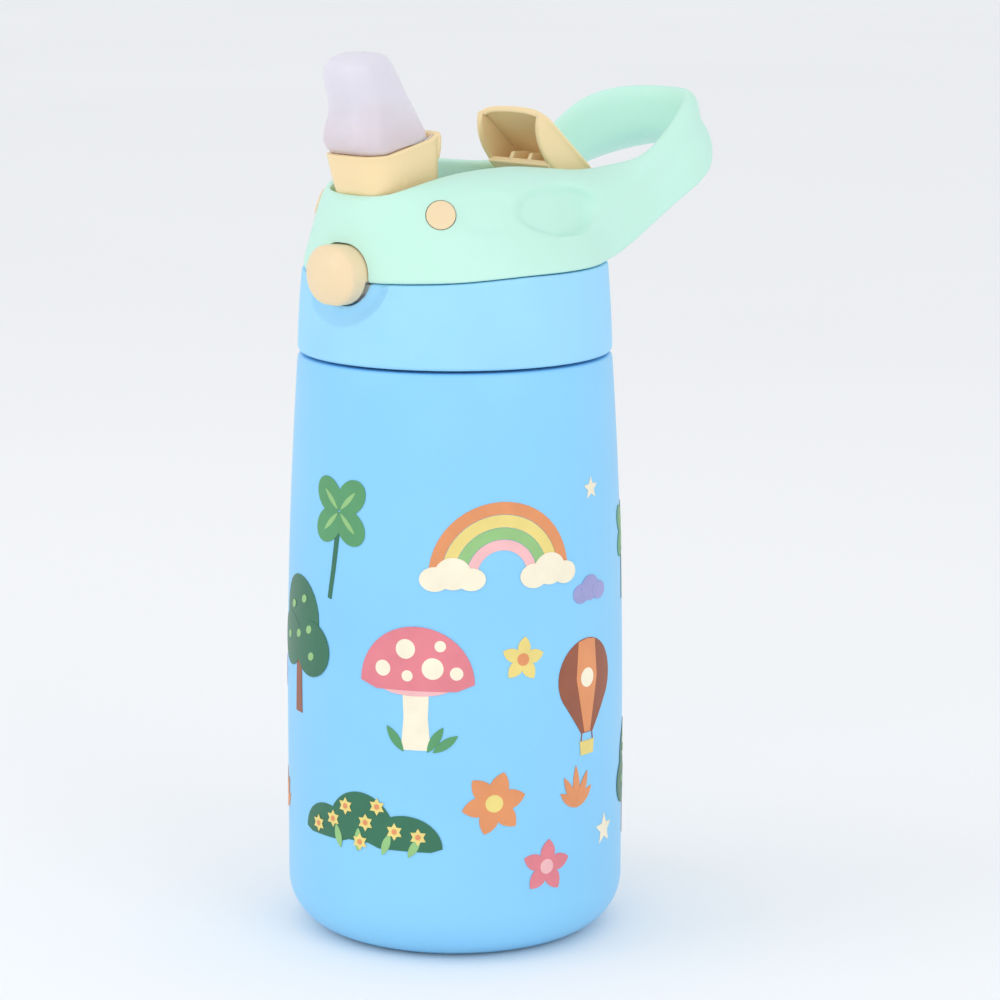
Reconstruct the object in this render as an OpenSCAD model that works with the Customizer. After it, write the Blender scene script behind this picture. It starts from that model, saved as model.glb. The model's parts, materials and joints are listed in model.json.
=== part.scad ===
// Kids drinking bottle: double-walled steel body, screw-on lid with carry loop,
// pop-up silicone spout on a sprung holder, tip hood, push button and straw.
// Millimetres. Origin: centre of the base, on the bottle's axis. +Z up, +Y towards the carry loop,
// -Y towards the push button.

/* [Bottle body] */
// Outer diameter of the body
body_d = 73; // [68:1:88]
// Height of the steel body, from the base to the shoulder under the lid
body_h = 126; // [104:1:152]
// Outer radius of the rounded bottom corner
corner_r = 11; // [8:0.5:13]
// Height at which the body starts to draw in
taper_z = 46; // [30:1:80]
// Sheet steel thickness
steel_t = 0.8; // [0.5:0.1:1]
// Vacuum gap at the top of the body
vacuum_gap = 2.1; // [1.5:0.1:2.6]
// Diameter of the disc that closes the base
base_disc_d = 44; // [36:1:46]

/* [Neck and thread] */
// Outer diameter of the threaded neck
neck_d = 58; // [57:0.1:58.4]
// Height of the neck above the shoulder
neck_h = 13.5; // [13.5:0.5:17]
// Rise of the thread in one turn
thread_pitch = 4; // [3:0.25:5]
// Turns of thread on the neck and in the collar
thread_turns = 1.25; // [1:0.05:1.5]
// Height of a thread ridge above its wall
thread_depth = 0.9; // [0.6:0.05:1]

/* [Collar and core] */
// Outer diameter of the light blue collar
collar_d = 67.4; // [67:0.2:69]
// Gap between the collar and the body, seen as a dark seam
seam_gap = 0.6; // [0.4:0.1:1]
// Height of the collar above the seam
collar_h = 18.8; // [18.8:0.2:24]
// Wall of the collar behind its thread
collar_wall = 3.2; // [2.4:0.1:3.2]
// Thickness of the flat gasket on the mouth
gasket_t = 1.8; // [1.4:0.1:2]
// Thickness of the lid core's disc
core_t = 2.2; // [1.6:0.1:2.4]

/* [Lid shell and carry loop] */
// Height of the mint shell above the collar, at the middle of its rails
shell_h = 21; // [20:0.5:22]
// Half width of the shell's top across the rails
rail_half_w = 24.5; // [23:0.25:26]
// Half length of the shell's top, from the axis to the front
shell_front = 30; // [29.5:0.25:31]
// Wall of the shell
shell_t = 2.2; // [1.6:0.1:2.4]
// Half width of the open channel between the rails
channel_half_w = 11.5; // [11.4:0.1:12]
// Radius of the carry loop's rear end, seen from above
loop_r = 19.5; // [18:0.5:22]
// Distance of the rear end's centre behind the axis
loop_y = 47.5; // [44:0.5:52]
// Thickness of the loop's band
loop_t = 4.2; // [3.4:0.1:5]

/* [Spout] */
// Distance of the spout's pivot in front of the axis
pivot_y = 21.5; // [21:0.1:22]
// Height of the spout's pivot above the collar
pivot_up = 12.9; // [12.6:0.1:13.4]
// Radius of the pivot pins
pin_r = 2; // [1.6:0.1:2.2]
// Running clearance of every pin in its bore, on the radius
pin_gap = 0.06; // [0.03:0.01:0.09]
// Half width of the cream holder
holder_half_w = 8.6; // [8:0.1:8.7]
// Height of the spout's tip above its pivot
spout_h = 32.6; // [30:0.2:33]

/* [Hood and button] */
// Height of the hood's pivot above the collar
hood_pivot_up = 16.6; // [16:0.1:17]
// Distance of the hood's pivot behind the axis
hood_pivot_y = 29.5; // [29:0.1:30]
// Half width of the hood
hood_half_w = 9.8; // [9:0.1:10]
// Length of the hood from its pivot to its lip
hood_l = 19.4; // [18:0.1:20]
// Angle of the open hood's roof above level
hood_angle = 41; // [38:0.5:44]
// Width of the push button
button_w = 15; // [13:0.5:16]
// Height of the push button
button_h = 12.5; // [11:0.5:13]

/* [Hidden] */
$fn = 96;

body_r = body_d / 2;
collar_r = collar_d / 2;
neck_r = neck_d / 2;
disc_r = base_disc_d / 2;
mouth_z = body_h + neck_h;                 // top rim of the steel mouth
collar_z = body_h + seam_gap;              // bottom edge of the collar
seam_z = collar_z + collar_h;              // joint between the collar and the mint shell
bore_r = collar_r - collar_wall;           // plain bore of the collar, behind its thread
core_z = mouth_z + gasket_t;               // underside of the core's disc
floor_z = core_z + core_t;                 // floor of the channel between the rails
dish = 0.3;                                // hollow of the base disc
getter_r = 4;                              // cap over the vacuum port in the base
getter_z = 0.5;                            // its clearance over whatever the bottle stands on
neck_wall_gap = 0.6;                       // gap between the two steel walls in the neck
mouth_r = neck_r - 2 * steel_t - neck_wall_gap;
flask_r = collar_r - steel_t - vacuum_gap; // outer radius of the inner flask
flask_z = 5;                               // underside of the inner flask
flask_corner = 9;                          // bottom corner of the inner flask
shoulder_drop = 8;                         // where the flask starts to draw in, below the shoulder
gap = 0.3;                                 // clearance between pieces that move past each other
eps = 0.01;

pivot = [0, -pivot_y, seam_z + pivot_up];
hood_pivot = [0, hood_pivot_y, seam_z + hood_pivot_up];
rail_z = seam_z + shell_h;                 // highest point of the rails
hub_r = 5.2;                               // round underside of the holder, about the pivot
boss_r = 3.6;                              // side bosses of the holder
tooth_r = 4.8;                             // latch tooth on a side boss
tooth_angle = 10;                          // where the tooth stands on the open holder
holder_front = 6;                          // holder's front and rear faces, from the pivot
holder_rear = 11.1;
holder_lean = 3;                           // how far the holder's rim reaches in front of its foot
rim_up = 11.7;                             // holder's front rim above the pivot
tab_up = 15.4;                             // holder's rear tab above the pivot
cup_wall = 1.7;                            // wall of the holder
nozzle_y = -24.2;                          // duct nozzle in front of the axis
nozzle_r = 2;
duct_bore_r = 1.3;
straw_y = -15;                             // straw in front of the axis
straw_r = 3.9;
straw_bore_r = 3;
straw_top_z = core_z - 8.2;                // upper end of the straw, on the core's stub
hood_pin_r = 1.2;
hood_t = 1.6;                              // walls of the hood
hood_barrel_r = 2.7;
button_face_y = -collar_r - 3.1;            // front of the push button
button_t = 4;                              // thickness of the push button's cap
button_z = seam_z - 0.1;                   // height of the button's centre
arm_t = 2.2;                               // width of the latch slide's arms
arm_h = 4.2;
shell_slope_z = 17.6;                      // height over which the shell's plan turns from round to oval
pin_head_r = 3.25;
pin_seat_r = pin_head_r + 0.3;
pin_seat_x = 16.4;                         // seat of a pin's head, from the middle plane
pin_face_x = 18.9;                         // outer face of a pin's head
vent_y = 14;                               // vent valve behind the axis
vent_stem_r = 1.5;
hood_spring_half = 1.9;                    // half length of the room for the hood's spring
arm_x = channel_half_w - gap - arm_t / 2;  // middle of each arm of the latch slide
arm_z = floor_z + gap;
slide_y = button_face_y + button_t;        // back of the cap, where the slide is fixed
spring_front_y = -13.4;                    // rear ends of the arms
spring_rear_y = -6.6;                      // stops on the core
stop_t = 1.6;                              // thickness of those stops
stub_top_z = core_z - 4.5;                 // root of the straw's stub, in the duct's foot
nozzle_h = 5;                              // height of the duct's nozzle over the middle of the core

// Points of an arc about a centre, from one angle to another
function arc(c, r, a0, a1, n = 8) = [for (i = [0:n]) c + r * [cos(a0 + (a1 - a0) * i / n),
                                                             sin(a0 + (a1 - a0) * i / n)]];

// Outer radius of the body above the straight part: it draws in ever faster towards the shoulder
function body_radius(z) = body_r - (body_r - collar_r) * pow((z - taper_z) / (body_h - taper_z), 2);

// Rings of a swept tube, as one polyhedron
module sweep(path, radius, sides = 8) {
    steps = len(path);
    function direction(i) = let (d = path[min(i + 1, steps - 1)] - path[max(i - 1, 0)]) d / norm(d);
    function across(i) = let (d = direction(i), n = cross(d, abs(d.x) > 0.9 ? [0, 0, 1] : [1, 0, 0]))
        n / norm(n);
    ring_points = [for (i = [0:steps - 1], k = [0:sides - 1])
        let (u = across(i), v = cross(direction(i), u), a = 360 * k / sides)
        path[i] + radius * (cos(a) * u + sin(a) * v)];
    walls = [for (i = [0:steps - 2], k = [0:sides - 1])
        let (a = i * sides + k, b = i * sides + (k + 1) % sides)
        each [[a, a + sides, b], [b, a + sides, b + sides]]];
    ends = [[for (k = [0:sides - 1]) k], [for (k = [sides - 1:-1:0]) (steps - 1) * sides + k]];
    polyhedron(ring_points, concat(walls, ends), convexity = 6);
}

// Points of a coil about the X axis; negative turns wind the other way
function coil_points(radius, x0, x1, turns, a0 = 0, per_turn = 16) =
    let (steps = ceil(abs(turns) * per_turn)) [for (i = [0:steps]) let (a = a0 + 360 * turns * i / steps)
        [x0 + (x1 - x0) * i / steps, radius * cos(a), radius * sin(a)]];

// A helical ridge with a trapezoid section, base on the wall and crest at wall + side * depth
module thread_ridge(wall_r, side, z0, turns) {
    per_turn = 40;
    steps = ceil(turns * per_turn);
    root = 0.3;
    half_base = 0.95;
    half_crest = 0.35;
    fade = per_turn / 8;
    function lift(i) = min(1, i / fade, (steps - i) / fade);
    ring_points = [for (i = [0:steps], p = [[-root, -half_base], [-root, half_base],
                                            [thread_depth, half_crest], [thread_depth, -half_crest]])
        let (a = 360 * i / per_turn,
             out = p.x < 0 ? p.x : max(0.05, p.x * lift(i)),
             r = wall_r + side * out)
        [r * cos(a), r * sin(a), z0 + thread_pitch * i / per_turn + p.y]];
    walls = [for (i = [0:steps - 1], k = [0:3])
        let (a = 4 * i + k, b = 4 * i + (k + 1) % 4)
        each [[a, b, a + 4], [b, b + 4, a + 4]]];
    ends = [[3, 2, 1, 0], [for (k = [0:3]) 4 * steps + k]];
    faces = concat(walls, ends);
    flipped = [for (f = faces) [for (k = [len(f) - 1:-1:0]) f[k]]];
    polyhedron(ring_points, side > 0 ? flipped : faces, convexity = 8);
}

// A flat rounded rectangle, exact arcs at its corners
module rounded_rect(half_w, y0, y1, r) {
    translate([-half_w, y0 + r]) square([2 * half_w, y1 - y0 - 2 * r]);
    translate([-half_w + r, y0]) square([2 * half_w - 2 * r, y1 - y0]);
    for (x = [-half_w + r, half_w - r], y = [y0 + r, y1 - r])
        translate([x, y]) circle(r, $fn = 32);
}

// A cylinder along X between two places, at a given point of the side view
module rod_x(r, x0, x1, at) {
    translate([x0, at.y, at.z]) rotate([0, 90, 0]) cylinder(r = r, h = x1 - x0);
}

// A shape drawn in the side view (Y to the right, Z up), given width along X
module side_prism(x0, x1) {
    translate([x0, 0, 0]) rotate([90, 0, 90]) linear_extrude(x1 - x0) children();
}

// The push button's outline, grown by a clearance, as a prism along Y
module button_prism(y0, y1, grow) {
    r = button_h / 2 + grow;
    reach = (button_w - button_h) / 2;
    translate([0, y1, button_z]) rotate([90, 0, 0]) linear_extrude(y1 - y0) {
        for (s = [-1, 1]) translate([s * reach, 0]) circle(r);
        square([2 * reach, 2 * r], center = true);
    }
}

// ---- Bottle ----

module outer_shell() {
    steps = 8;
    outside = concat([[disc_r, 0], [body_r - corner_r, 0]],
                     arc([body_r - corner_r, corner_r], corner_r, -90, 0),
                     [for (i = [0:steps]) let (z = taper_z + (body_h - taper_z) * i / steps)
                         [i == steps ? collar_r - 0.6 : body_radius(z), z]],
                     [[neck_r, body_h], [neck_r, mouth_z]]);
    inside = concat([[neck_r - steel_t, mouth_z], [neck_r - steel_t, body_h - steel_t]],
                    [for (i = [steps:-1:0]) let (z = taper_z + (body_h - taper_z) * i / steps)
                        [(i == steps ? collar_r : body_radius(z)) - steel_t, min(z, body_h - steel_t)]],
                    arc([body_r - corner_r, corner_r], corner_r - steel_t, 0, -90),
                    [[disc_r + steel_t, steel_t], [disc_r + steel_t, 2 * steel_t], [disc_r, 2 * steel_t]]);
    color("deepskyblue") {
        rotate_extrude() polygon(concat(outside, inside));
        thread_ridge(neck_r, 1, body_h + 3.2, thread_turns);
    }
}

module inner_flask() {
    r = flask_r;
    neck_out = neck_r - steel_t - neck_wall_gap;
    top = body_h - shoulder_drop;
    outside = concat([[0, flask_z]], arc([r - flask_corner, flask_z + flask_corner], flask_corner, -90, 0),
                     [[r, top], [neck_out, body_h - 1], [neck_out, mouth_z - steel_t],
                      [neck_r - steel_t, mouth_z - steel_t], [neck_r - steel_t, mouth_z]]);
    inside = concat([[mouth_r, mouth_z], [mouth_r, body_h - 1 - 0.2], [r - steel_t, top - 0.2]],
                    arc([r - flask_corner, flask_z + flask_corner], flask_corner - steel_t, 0, -90),
                    [[0, flask_z + steel_t]]);
    color("silver") rotate_extrude() polygon(concat(outside, inside));
}

module base_disc() {
    color("lightsteelblue") difference() {
        translate([0, 0, steel_t]) cylinder(r = disc_r, h = steel_t);
        translate([0, 0, steel_t - 1]) cylinder(r = disc_r - 5, h = 1 + dish);
    }
}

module getter_cap() {
    color("gainsboro") translate([0, 0, getter_z]) cylinder(r = getter_r, h = steel_t + dish - getter_z);
}

// ---- Lid: fixed pieces ----

module mouth_gasket() {
    color("whitesmoke") translate([0, 0, mouth_z]) difference() {
        cylinder(r = neck_r, h = gasket_t - 0.05);
        translate([0, 0, -1]) cylinder(r = mouth_r - 0.1, h = gasket_t + 2);
    }
}

module collar() {
    edge = 0.7;
    flange_t = 1.4;
    flange_r = 27.9;
    profile = concat([[bore_r, collar_z], [collar_r - edge, collar_z]],
                     arc([collar_r - edge, collar_z + edge], edge, -90, 0, 4),
                     [[collar_r, seam_z], [flange_r, seam_z], [flange_r, floor_z + 0.05],
                      [bore_r, floor_z + 0.05]]);
    color("lightskyblue") difference() {
        union() {
            rotate_extrude() polygon(profile);
            thread_ridge(bore_r, -1, body_h + 3.2 + thread_pitch / 2, thread_turns);
        }
        button_prism(-collar_r - 5, -27, 0.5);
        // room for the latch slide over the core
        translate([-channel_half_w - gap, -bore_r, floor_z]) cube([2 * (channel_half_w + gap), 20, 5]);
        thumb_scoop();
    }
}

// The dent under the button, where the thumb comes in
module thumb_scoop() {
    scoop_r = 14;
    translate([0, -collar_r - scoop_r + 1.9, button_z - 4.2]) sphere(r = scoop_r);
}

module shell_solid(inset, top) {
    hull() {
        translate([0, 0, seam_z - (inset > 0 ? 1 : 0)])
            cylinder(r = collar_r - 0.3 - inset, h = 0.5, $fn = 64);
        translate([0, 0, seam_z + shell_slope_z - 1])
            scale([(rail_half_w - inset) / (shell_front - inset), 1, 1])
            cylinder(r = shell_front - inset, h = top - seam_z - shell_slope_z + 1, $fn = 64);
    }
}

// Side view of the shell and its loop: rails, rising loop, rounded rear end, slanted underside
module shell_side(grow = 0) {
    front = [-shell_front - 4, rail_z - 6.4];
    rear = [loop_y + loop_r, seam_z];
    polygon([front, [-shell_front, rail_z - 5], [-20, rail_z - 2.8], [-8, rail_z - 0.8], [3, rail_z],
             [15, rail_z - 1.2], [24, rail_z - 2.2], [31, rail_z - 1.6], [loop_y - 9.5, rail_z + 0.9],
             [loop_y - 3.5, rail_z + 5.1], [loop_y + 3, rail_z + 9.2], [loop_y + 10, rail_z + 12.4],
             [loop_y + 14, rail_z + 13], [rear.x - 1.8, rail_z + 11.6], [rear.x - 0.8, rail_z + 7.6],
             [rear.x, rail_z + 3.4], [rear.x - 0.6, rail_z + 0.8], [rear.x - 5.2, rail_z - 2.6],
             [rear.x - 11.2, rail_z - 5.5], [rear.x - 18.3, rail_z - 9.4], [rear.x - 25, seam_z + 7.5],
             [rear.x - 31, seam_z + 3.4], [rear.x - 34, seam_z], [front.x, seam_z]]);
}

module loop_plan(inset) {
    front_half = 24;
    translate([0, loop_y]) circle(loop_r - inset);
    polygon([[-front_half + inset, 12], [front_half - inset, 12], [loop_r - inset, loop_y],
             [-loop_r + inset, loop_y]]);
}

module lid_shell() {
    slot_front = -pivot_y - holder_front - 0.8;
    slot_rear = hood_pivot_y + hood_barrel_r + 1;
    hole_front = slot_rear + 4;
    color("aquamarine") difference() {
        intersection() {
            union() {
                shell_solid(0, rail_z + 1);
                translate([0, 0, seam_z]) linear_extrude(shell_h + 20) loop_plan(0);
            }
            side_prism(-40, 40) shell_side();
        }
        // hollow under the skin, on both sides of the channel
        difference() {
            shell_solid(shell_t, rail_z - 5.6);
            translate([-channel_half_w - shell_t, -50, 0]) cube([2 * (channel_half_w + shell_t), 100, 300]);
        }
        // channel between the rails
        translate([0, 0, seam_z - 1]) linear_extrude(60) {
            rounded_rect(channel_half_w, slot_front, 0, 4);
            rounded_rect(channel_half_w, -10, slot_rear, 1.5);
        }
        // square-cornered pocket for the latch slide
        translate([-channel_half_w, slot_front, seam_z - 1])
            cube([2 * channel_half_w, 20, pivot_up - hub_r - 1]);
        // the opening of the loop
        translate([0, 0, seam_z - 1]) linear_extrude(60) intersection() {
            loop_plan(loop_t);
            translate([-50, hole_front]) square([100, 80]);
        }
        // bores and seats of the two pivot pins, and of the hood's pin
        for (s = [0, 1]) mirror([s, 0, 0]) {
            rod_x(pin_r, channel_half_w - 2, 30, pivot);
            rod_x(pin_seat_r, pin_seat_x, 30, pivot);
        }
        rod_x(hood_pin_r, -channel_half_w - shell_t, channel_half_w + shell_t, hood_pivot);
        button_prism(-collar_r - 5, slot_front + 2, 0.5);
    }
}

module lid_core() {
    spigot_r = mouth_r - 0.5;
    duct_top = [0, nozzle_y, floor_z + 2.5];
    duct_foot = [0, straw_y, core_z - 5.5];
    run = duct_foot - duct_top;
    tilt = atan2(run.y, -run.z);
    module slanted(r, h) {
        translate(duct_top) rotate([180 + tilt, 0, 0]) cylinder(r = r, h = h, $fn = 48);
    }
    color("ivory") difference() {
        union() {
            translate([0, 0, core_z]) cylinder(r = bore_r - 0.1, h = core_t);
            translate([0, 0, core_z - 4]) difference() {
                cylinder(r = spigot_r, h = 4 + eps);
                translate([0, 0, -1]) cylinder(r = spigot_r - 1.3, h = 5);
            }
            intersection() {
                slanted(3, norm(run));
                translate([-10, -spigot_r, 0]) cube([20, 40, core_z + core_t / 2]);
            }
            translate([0, straw_y, straw_top_z - 6])
                cylinder(r = straw_bore_r - 0.05, h = stub_top_z - straw_top_z + 6);
            translate([0, nozzle_y, core_z + core_t / 2]) cylinder(r = nozzle_r, h = nozzle_h);
            // stops at the back of the button's springs
            for (s = [-1, 1]) translate([s * arm_x - arm_t / 2, spring_rear_y, floor_z - eps])
                cube([arm_t, stop_t, arm_h]);
        }
        slanted(duct_bore_r, norm(run));
        translate([0, nozzle_y, floor_z + 1.5]) cylinder(r = duct_bore_r, h = 20, $fn = 48);
        translate([0, straw_y, straw_top_z - 10])
            cylinder(r = duct_bore_r + 0.5, h = stub_top_z - 0.1 - straw_top_z + 10, $fn = 48);
        translate([0, vent_y, core_z - 1]) cylinder(r = vent_stem_r, h = core_t + 2);
    }
}

module vent_valve() {
    color("white") translate([0, vent_y, 0]) {
        translate([0, 0, floor_z]) cylinder(r1 = 4, r2 = 2.6, h = 1.1);
        translate([0, 0, core_z - 1.8]) cylinder(r = vent_stem_r, h = core_t + 1.9);
        translate([0, 0, core_z - 1.8]) cylinder(r1 = 1.2, r2 = 2.3, h = 1.75);
    }
}

module straw() {
    foot_z = flask_z + steel_t + 2;
    color("white", 0.7) translate([0, straw_y, 0]) difference() {
        translate([0, 0, foot_z]) cylinder(r = straw_r, h = straw_top_z - foot_z);
        translate([0, 0, foot_z - 1]) cylinder(r = straw_bore_r, h = core_z);
        // the slanted foot that can't seal against the bottom
        translate([0, -straw_r, foot_z]) rotate([45, 0, 0]) translate([-10, -20, -20]) cube([20, 60, 20]);
    }
}

// Soft tube from the core's nozzle into the holder: it kinks shut when the spout folds down
module kink_tube() {
    path = [[0, nozzle_y, floor_z + 0.3], [0, nozzle_y, floor_z + 4], [0, nozzle_y + 0.3, pivot.z - 7.8],
            [0, nozzle_y + 0.9, pivot.z - 5.3], [0, nozzle_y + 1.7, pivot.z - 2.8],
            [0, nozzle_y + 2.3, pivot.z - 0.3]];
    bore = concat([path[0] - [0, 0, 1]], [for (i = [1:4]) path[i]], [path[5] + [0, 0.4, 2]]);
    color("lavender") difference() {
        sweep(path, 2.9, 12);
        sweep(bore, duct_bore_r + 0.2, 12);
        translate([0, nozzle_y, floor_z - 1])
            cylinder(r = nozzle_r + 0.02, h = core_z + core_t / 2 + nozzle_h - floor_z + 1.1);
    }
}

module pivot_pins() {
    color("moccasin") for (s = [0, 1]) mirror([s, 0, 0]) {
        rod_x(pin_r, 4.3, pin_seat_x + eps, pivot);
        rod_x(pin_head_r, pin_seat_x, pin_face_x, pivot);
    }
}

// ---- Spout: swings about the pivot pins ----

module cup_solid(inset, foot_up) {
    front = -pivot_y - holder_front + inset;
    rear = -pivot_y + holder_rear - inset;
    r = 3.4 - inset / 2;
    hull() {
        translate([0, 0, pivot.z + foot_up]) linear_extrude(0.1)
            rounded_rect(holder_half_w - inset, front, rear, r);
        translate([0, 0, pivot.z + tab_up]) linear_extrude(0.1)
            rounded_rect(holder_half_w - inset, front - holder_lean, rear, r);
    }
}

module spout_holder() {
    hub_w = holder_half_w - 0.15;
    boss_w = channel_half_w - gap;
    color("navajowhite") difference() {
        union() {
            // cup, cut along its rim, which climbs to the rear tab
            intersection() {
                cup_solid(0, 1.2);
                rim_side(0);
            }
            rod_x(hub_r, -hub_w, hub_w, pivot);
            rod_x(boss_r, -boss_w, boss_w, pivot);
            latch_tooth(-boss_w + 0.15, -hub_w + 0.5);
        }
        intersection() {
            cup_solid(cup_wall, 4);
            translate([-20, -60, 0]) cube([40, 60, 300]);
        }
        // throat for the soft tube
        translate([0, -pivot_y - 1.1, pivot.z - 8]) cylinder(r = 3.9, h = 14);
        rod_x(pin_r + pin_gap, -20, 20, pivot);
    }
}

// Tooth on a side boss, which the latch slide catches when the spout is down
module latch_tooth(x0, x1) {
    translate(pivot) rotate([-tooth_angle, 0, 0]) translate([x0, -0.9, 0]) cube([x1 - x0, 1.8, tooth_r]);
}

// Everything under the holder's rim, in the side view: the rim climbs from the front to the rear tab
module rim_side(up) {
    front_z = pivot.z + rim_up + up;
    tab_z = pivot.z + tab_up + up;
    side_prism(-20, 20)
        polygon([[-60, pivot.z], [-60, front_z], [-pivot_y, front_z + 0.8], [-pivot_y + 7, front_z + 2.6],
                 [-pivot_y + holder_rear - 2.2, tab_z], [0, tab_z], [0, pivot.z]]);
}

module spout_nozzle() {
    // height over the pivot, centre, half width, half depth and corner of each level section
    foot = [rim_up, -0.8, 7.9, 8.6, 4.4];
    bulge = [rim_up + 3.4, -0.8, 8, 9, 4.6];
    tip = [spout_h - 1.6, -5.1, 6, 4.9, 4];
    top = [spout_h, -5.3, 4.2, 3.1, 3];
    module section(s) {
        translate([0, 0, pivot.z + s[0] - 0.1]) linear_extrude(0.1)
            rounded_rect(s[2], -pivot_y + s[1] - s[3], -pivot_y + s[1] + s[3], s[4]);
    }
    plug_foot = 4.4;
    tip_lean = 8;
    color("lavender") difference() {
        union() {
            difference() {
                hull() {
                    section(foot);
                    section(bulge);
                    section(tip);
                    section(top);
                }
                rim_side(0.12);
            }
            // plug in the holder's cup
            translate([0, 0, pivot.z + plug_foot]) linear_extrude(rim_up + 4.2 - plug_foot)
                rounded_rect(holder_half_w - cup_wall - 0.15, -pivot_y - holder_front + cup_wall + 0.15,
                             -pivot_y + holder_rear - cup_wall - 0.9, 2.5);
        }
        translate([0, -pivot_y - 0.9, pivot.z + 3]) rotate([tip_lean, 0, 0])
            cylinder(r = 1.9, h = 60, $fn = 48);
    }
}

// Two turns about the right-hand boss, one leg down to the core, one leg back along the holder
module spout_spring() {
    wire_r = 0.28;
    r = boss_r + wire_r + 0.35;
    x0 = holder_half_w + 0.75;
    x1 = channel_half_w - 0.7;
    color("dimgray") translate(pivot) {
        sweep(concat([for (z = [floor_z - pivot.z + 5, -5, -2]) [x0, -r, z]],
                     coil_points(r, x0, x1, -2.25, 180),
                     [for (y = [2, 4, 6]) [x1, y, r]]), wire_r, 6);
    }
}

// ---- Hood over the tip, shown open ----

// Drawn with its roof level, then turned up by the opening angle
module hood() {
    side = hood_half_w;
    eave = 0.7;
    drop = 5.4;
    front = -hood_l;
    color("navajowhite") translate(hood_pivot) rotate([-hood_angle, 0, 0]) difference() {
        union() {
            // roof with side eaves
            translate([-side - eave, front, hood_barrel_r - hood_t])
                cube([2 * (side + eave), hood_l, hood_t]);
            // cheeks
            for (s = [0, 1]) mirror([s, 0, 0]) side_prism(side - hood_t, side)
                polygon([[front, hood_barrel_r - 0.4], [front + 0.5, -0.4], [front + 3.3, -2.8],
                         [front + 7.3, -4.2], [front + 10.4, -drop + 0.4], [-5.5, -drop], [-2.6, -3.4],
                         [0, -hood_barrel_r], [0, hood_barrel_r - 0.4]]);
            rod_x(hood_barrel_r, -side, side, [0, 0, 0]);
            // push plate under the spout's tip, and its two ribs
            side_prism(-side + 0.2, side - 0.2)
                polygon([[front + 9, -drop + 1.8], [front + 9, -drop + 0.6], [-6, -drop + 0.4],
                         [0, -hood_barrel_r + 0.4], [-1.2, -hood_barrel_r + 1.2], [-6.4, -drop + 2]]);
            for (x = [-3.2, 2]) side_prism(x, x + 1.2)
                polygon([[front + 9.2, -drop + 1], [front + 8.6, -2.2], [-7.4, 0.4], [-1, hood_barrel_r - 1],
                         [-2, -2], [-6, -drop + 1.6]]);
        }
        rod_x(hood_pin_r + pin_gap, -20, 20, [0, 0, 0]);
        // room for the coil of the hood's spring
        rod_x(2.05, -hood_spring_half, hood_spring_half, [0, 0, 0]);
        translate([-hood_spring_half, -1.4, -3]) cube([2 * hood_spring_half, 2.8, 3]);
    }
}

module hood_pin() {
    half_l = channel_half_w + shell_t - 0.1;
    color("silver") rod_x(hood_pin_r, -half_l, half_l, hood_pivot);
}

module hood_spring() {
    wire_r = 0.25;
    color("dimgray") translate(hood_pivot)
        sweep(coil_points(hood_pin_r + wire_r + 0.12, -1.3, 1.3, 2.5, 40), wire_r, 6);
}

// ---- Push button and latch ----

module button_cap() {
    dome = 0.9;
    y1 = button_face_y + button_t;
    color("wheat") {
        button_prism(button_face_y + dome, y1, 0);
        hull() {
            button_prism(button_face_y + dome, button_face_y + dome + 0.01, 0);
            button_prism(button_face_y + 0.25, button_face_y + dome, -0.7);
            button_prism(button_face_y, button_face_y + dome, -2);
        }
    }
}

module latch_slide() {
    prong_x = 3.7;
    prong_w = 2.5;
    bar_y = -pivot_y - holder_front - 0.5;
    bar_t = 1.9;
    plate_t = 2.2;
    hook_r = tooth_r + 0.15;
    color("gainsboro") {
        translate([-prong_x - prong_w, slide_y, arm_z]) cube([2 * (prong_x + prong_w), plate_t, 5]);
        for (s = [0, 1]) mirror([s, 0, 0]) {
            translate([prong_x, slide_y + plate_t - eps, arm_z])
                cube([prong_w, bar_y - slide_y - plate_t + bar_t, arm_h]);
            translate([prong_x, bar_y, arm_z]) cube([arm_x + arm_t / 2 - prong_x, bar_t, arm_h]);
            translate([arm_x - arm_t / 2, bar_y, arm_z])
                cube([arm_t, spring_front_y - bar_y, arm_h]);
        }
        // post and hook behind the left-hand boss
        translate([-arm_x - arm_t / 2, spring_front_y - 2, arm_z]) cube([arm_t, 2, pivot.z + 1.4 - arm_z]);
        translate([-arm_x - arm_t / 2, -pivot_y + hook_r, pivot.z - 0.2])
            cube([arm_t, spring_front_y + pivot_y - hook_r, 1.6]);
    }
}

module button_springs() {
    wire_r = 0.25;
    turns = 5;
    color("dimgray") for (s = [-1, 1]) translate([s * arm_x, 0, arm_z + 1.6]) rotate([0, 0, 90])
        sweep(coil_points(0.8, spring_front_y + wire_r + 0.02, spring_rear_y - wire_r - 0.02, turns, 0, 12),
              wire_r, 6);
}

outer_shell();
inner_flask();
base_disc();
getter_cap();
mouth_gasket();
collar();
lid_shell();
lid_core();
vent_valve();
straw();
kink_tube();
pivot_pins();
spout_holder();
spout_nozzle();
spout_spring();
hood();
hood_pin();
hood_spring();
button_cap();
latch_slide();
button_springs();
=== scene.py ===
# %% [markdown]
# # A kids drinking bottle, piece by piece
# This lesson adds the looks: a spun steel body with printed motifs, a soft moulded lid, a silicone
# spout and a material for every piece. Each step is a cell that can be read by itself.

# %% Load the frame
import json

import bmesh
import bpy
from math import cos, hypot, pi, radians, sin, sqrt
from mathutils import Matrix, Vector
from mathutils.bvhtree import BVHTree


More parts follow.
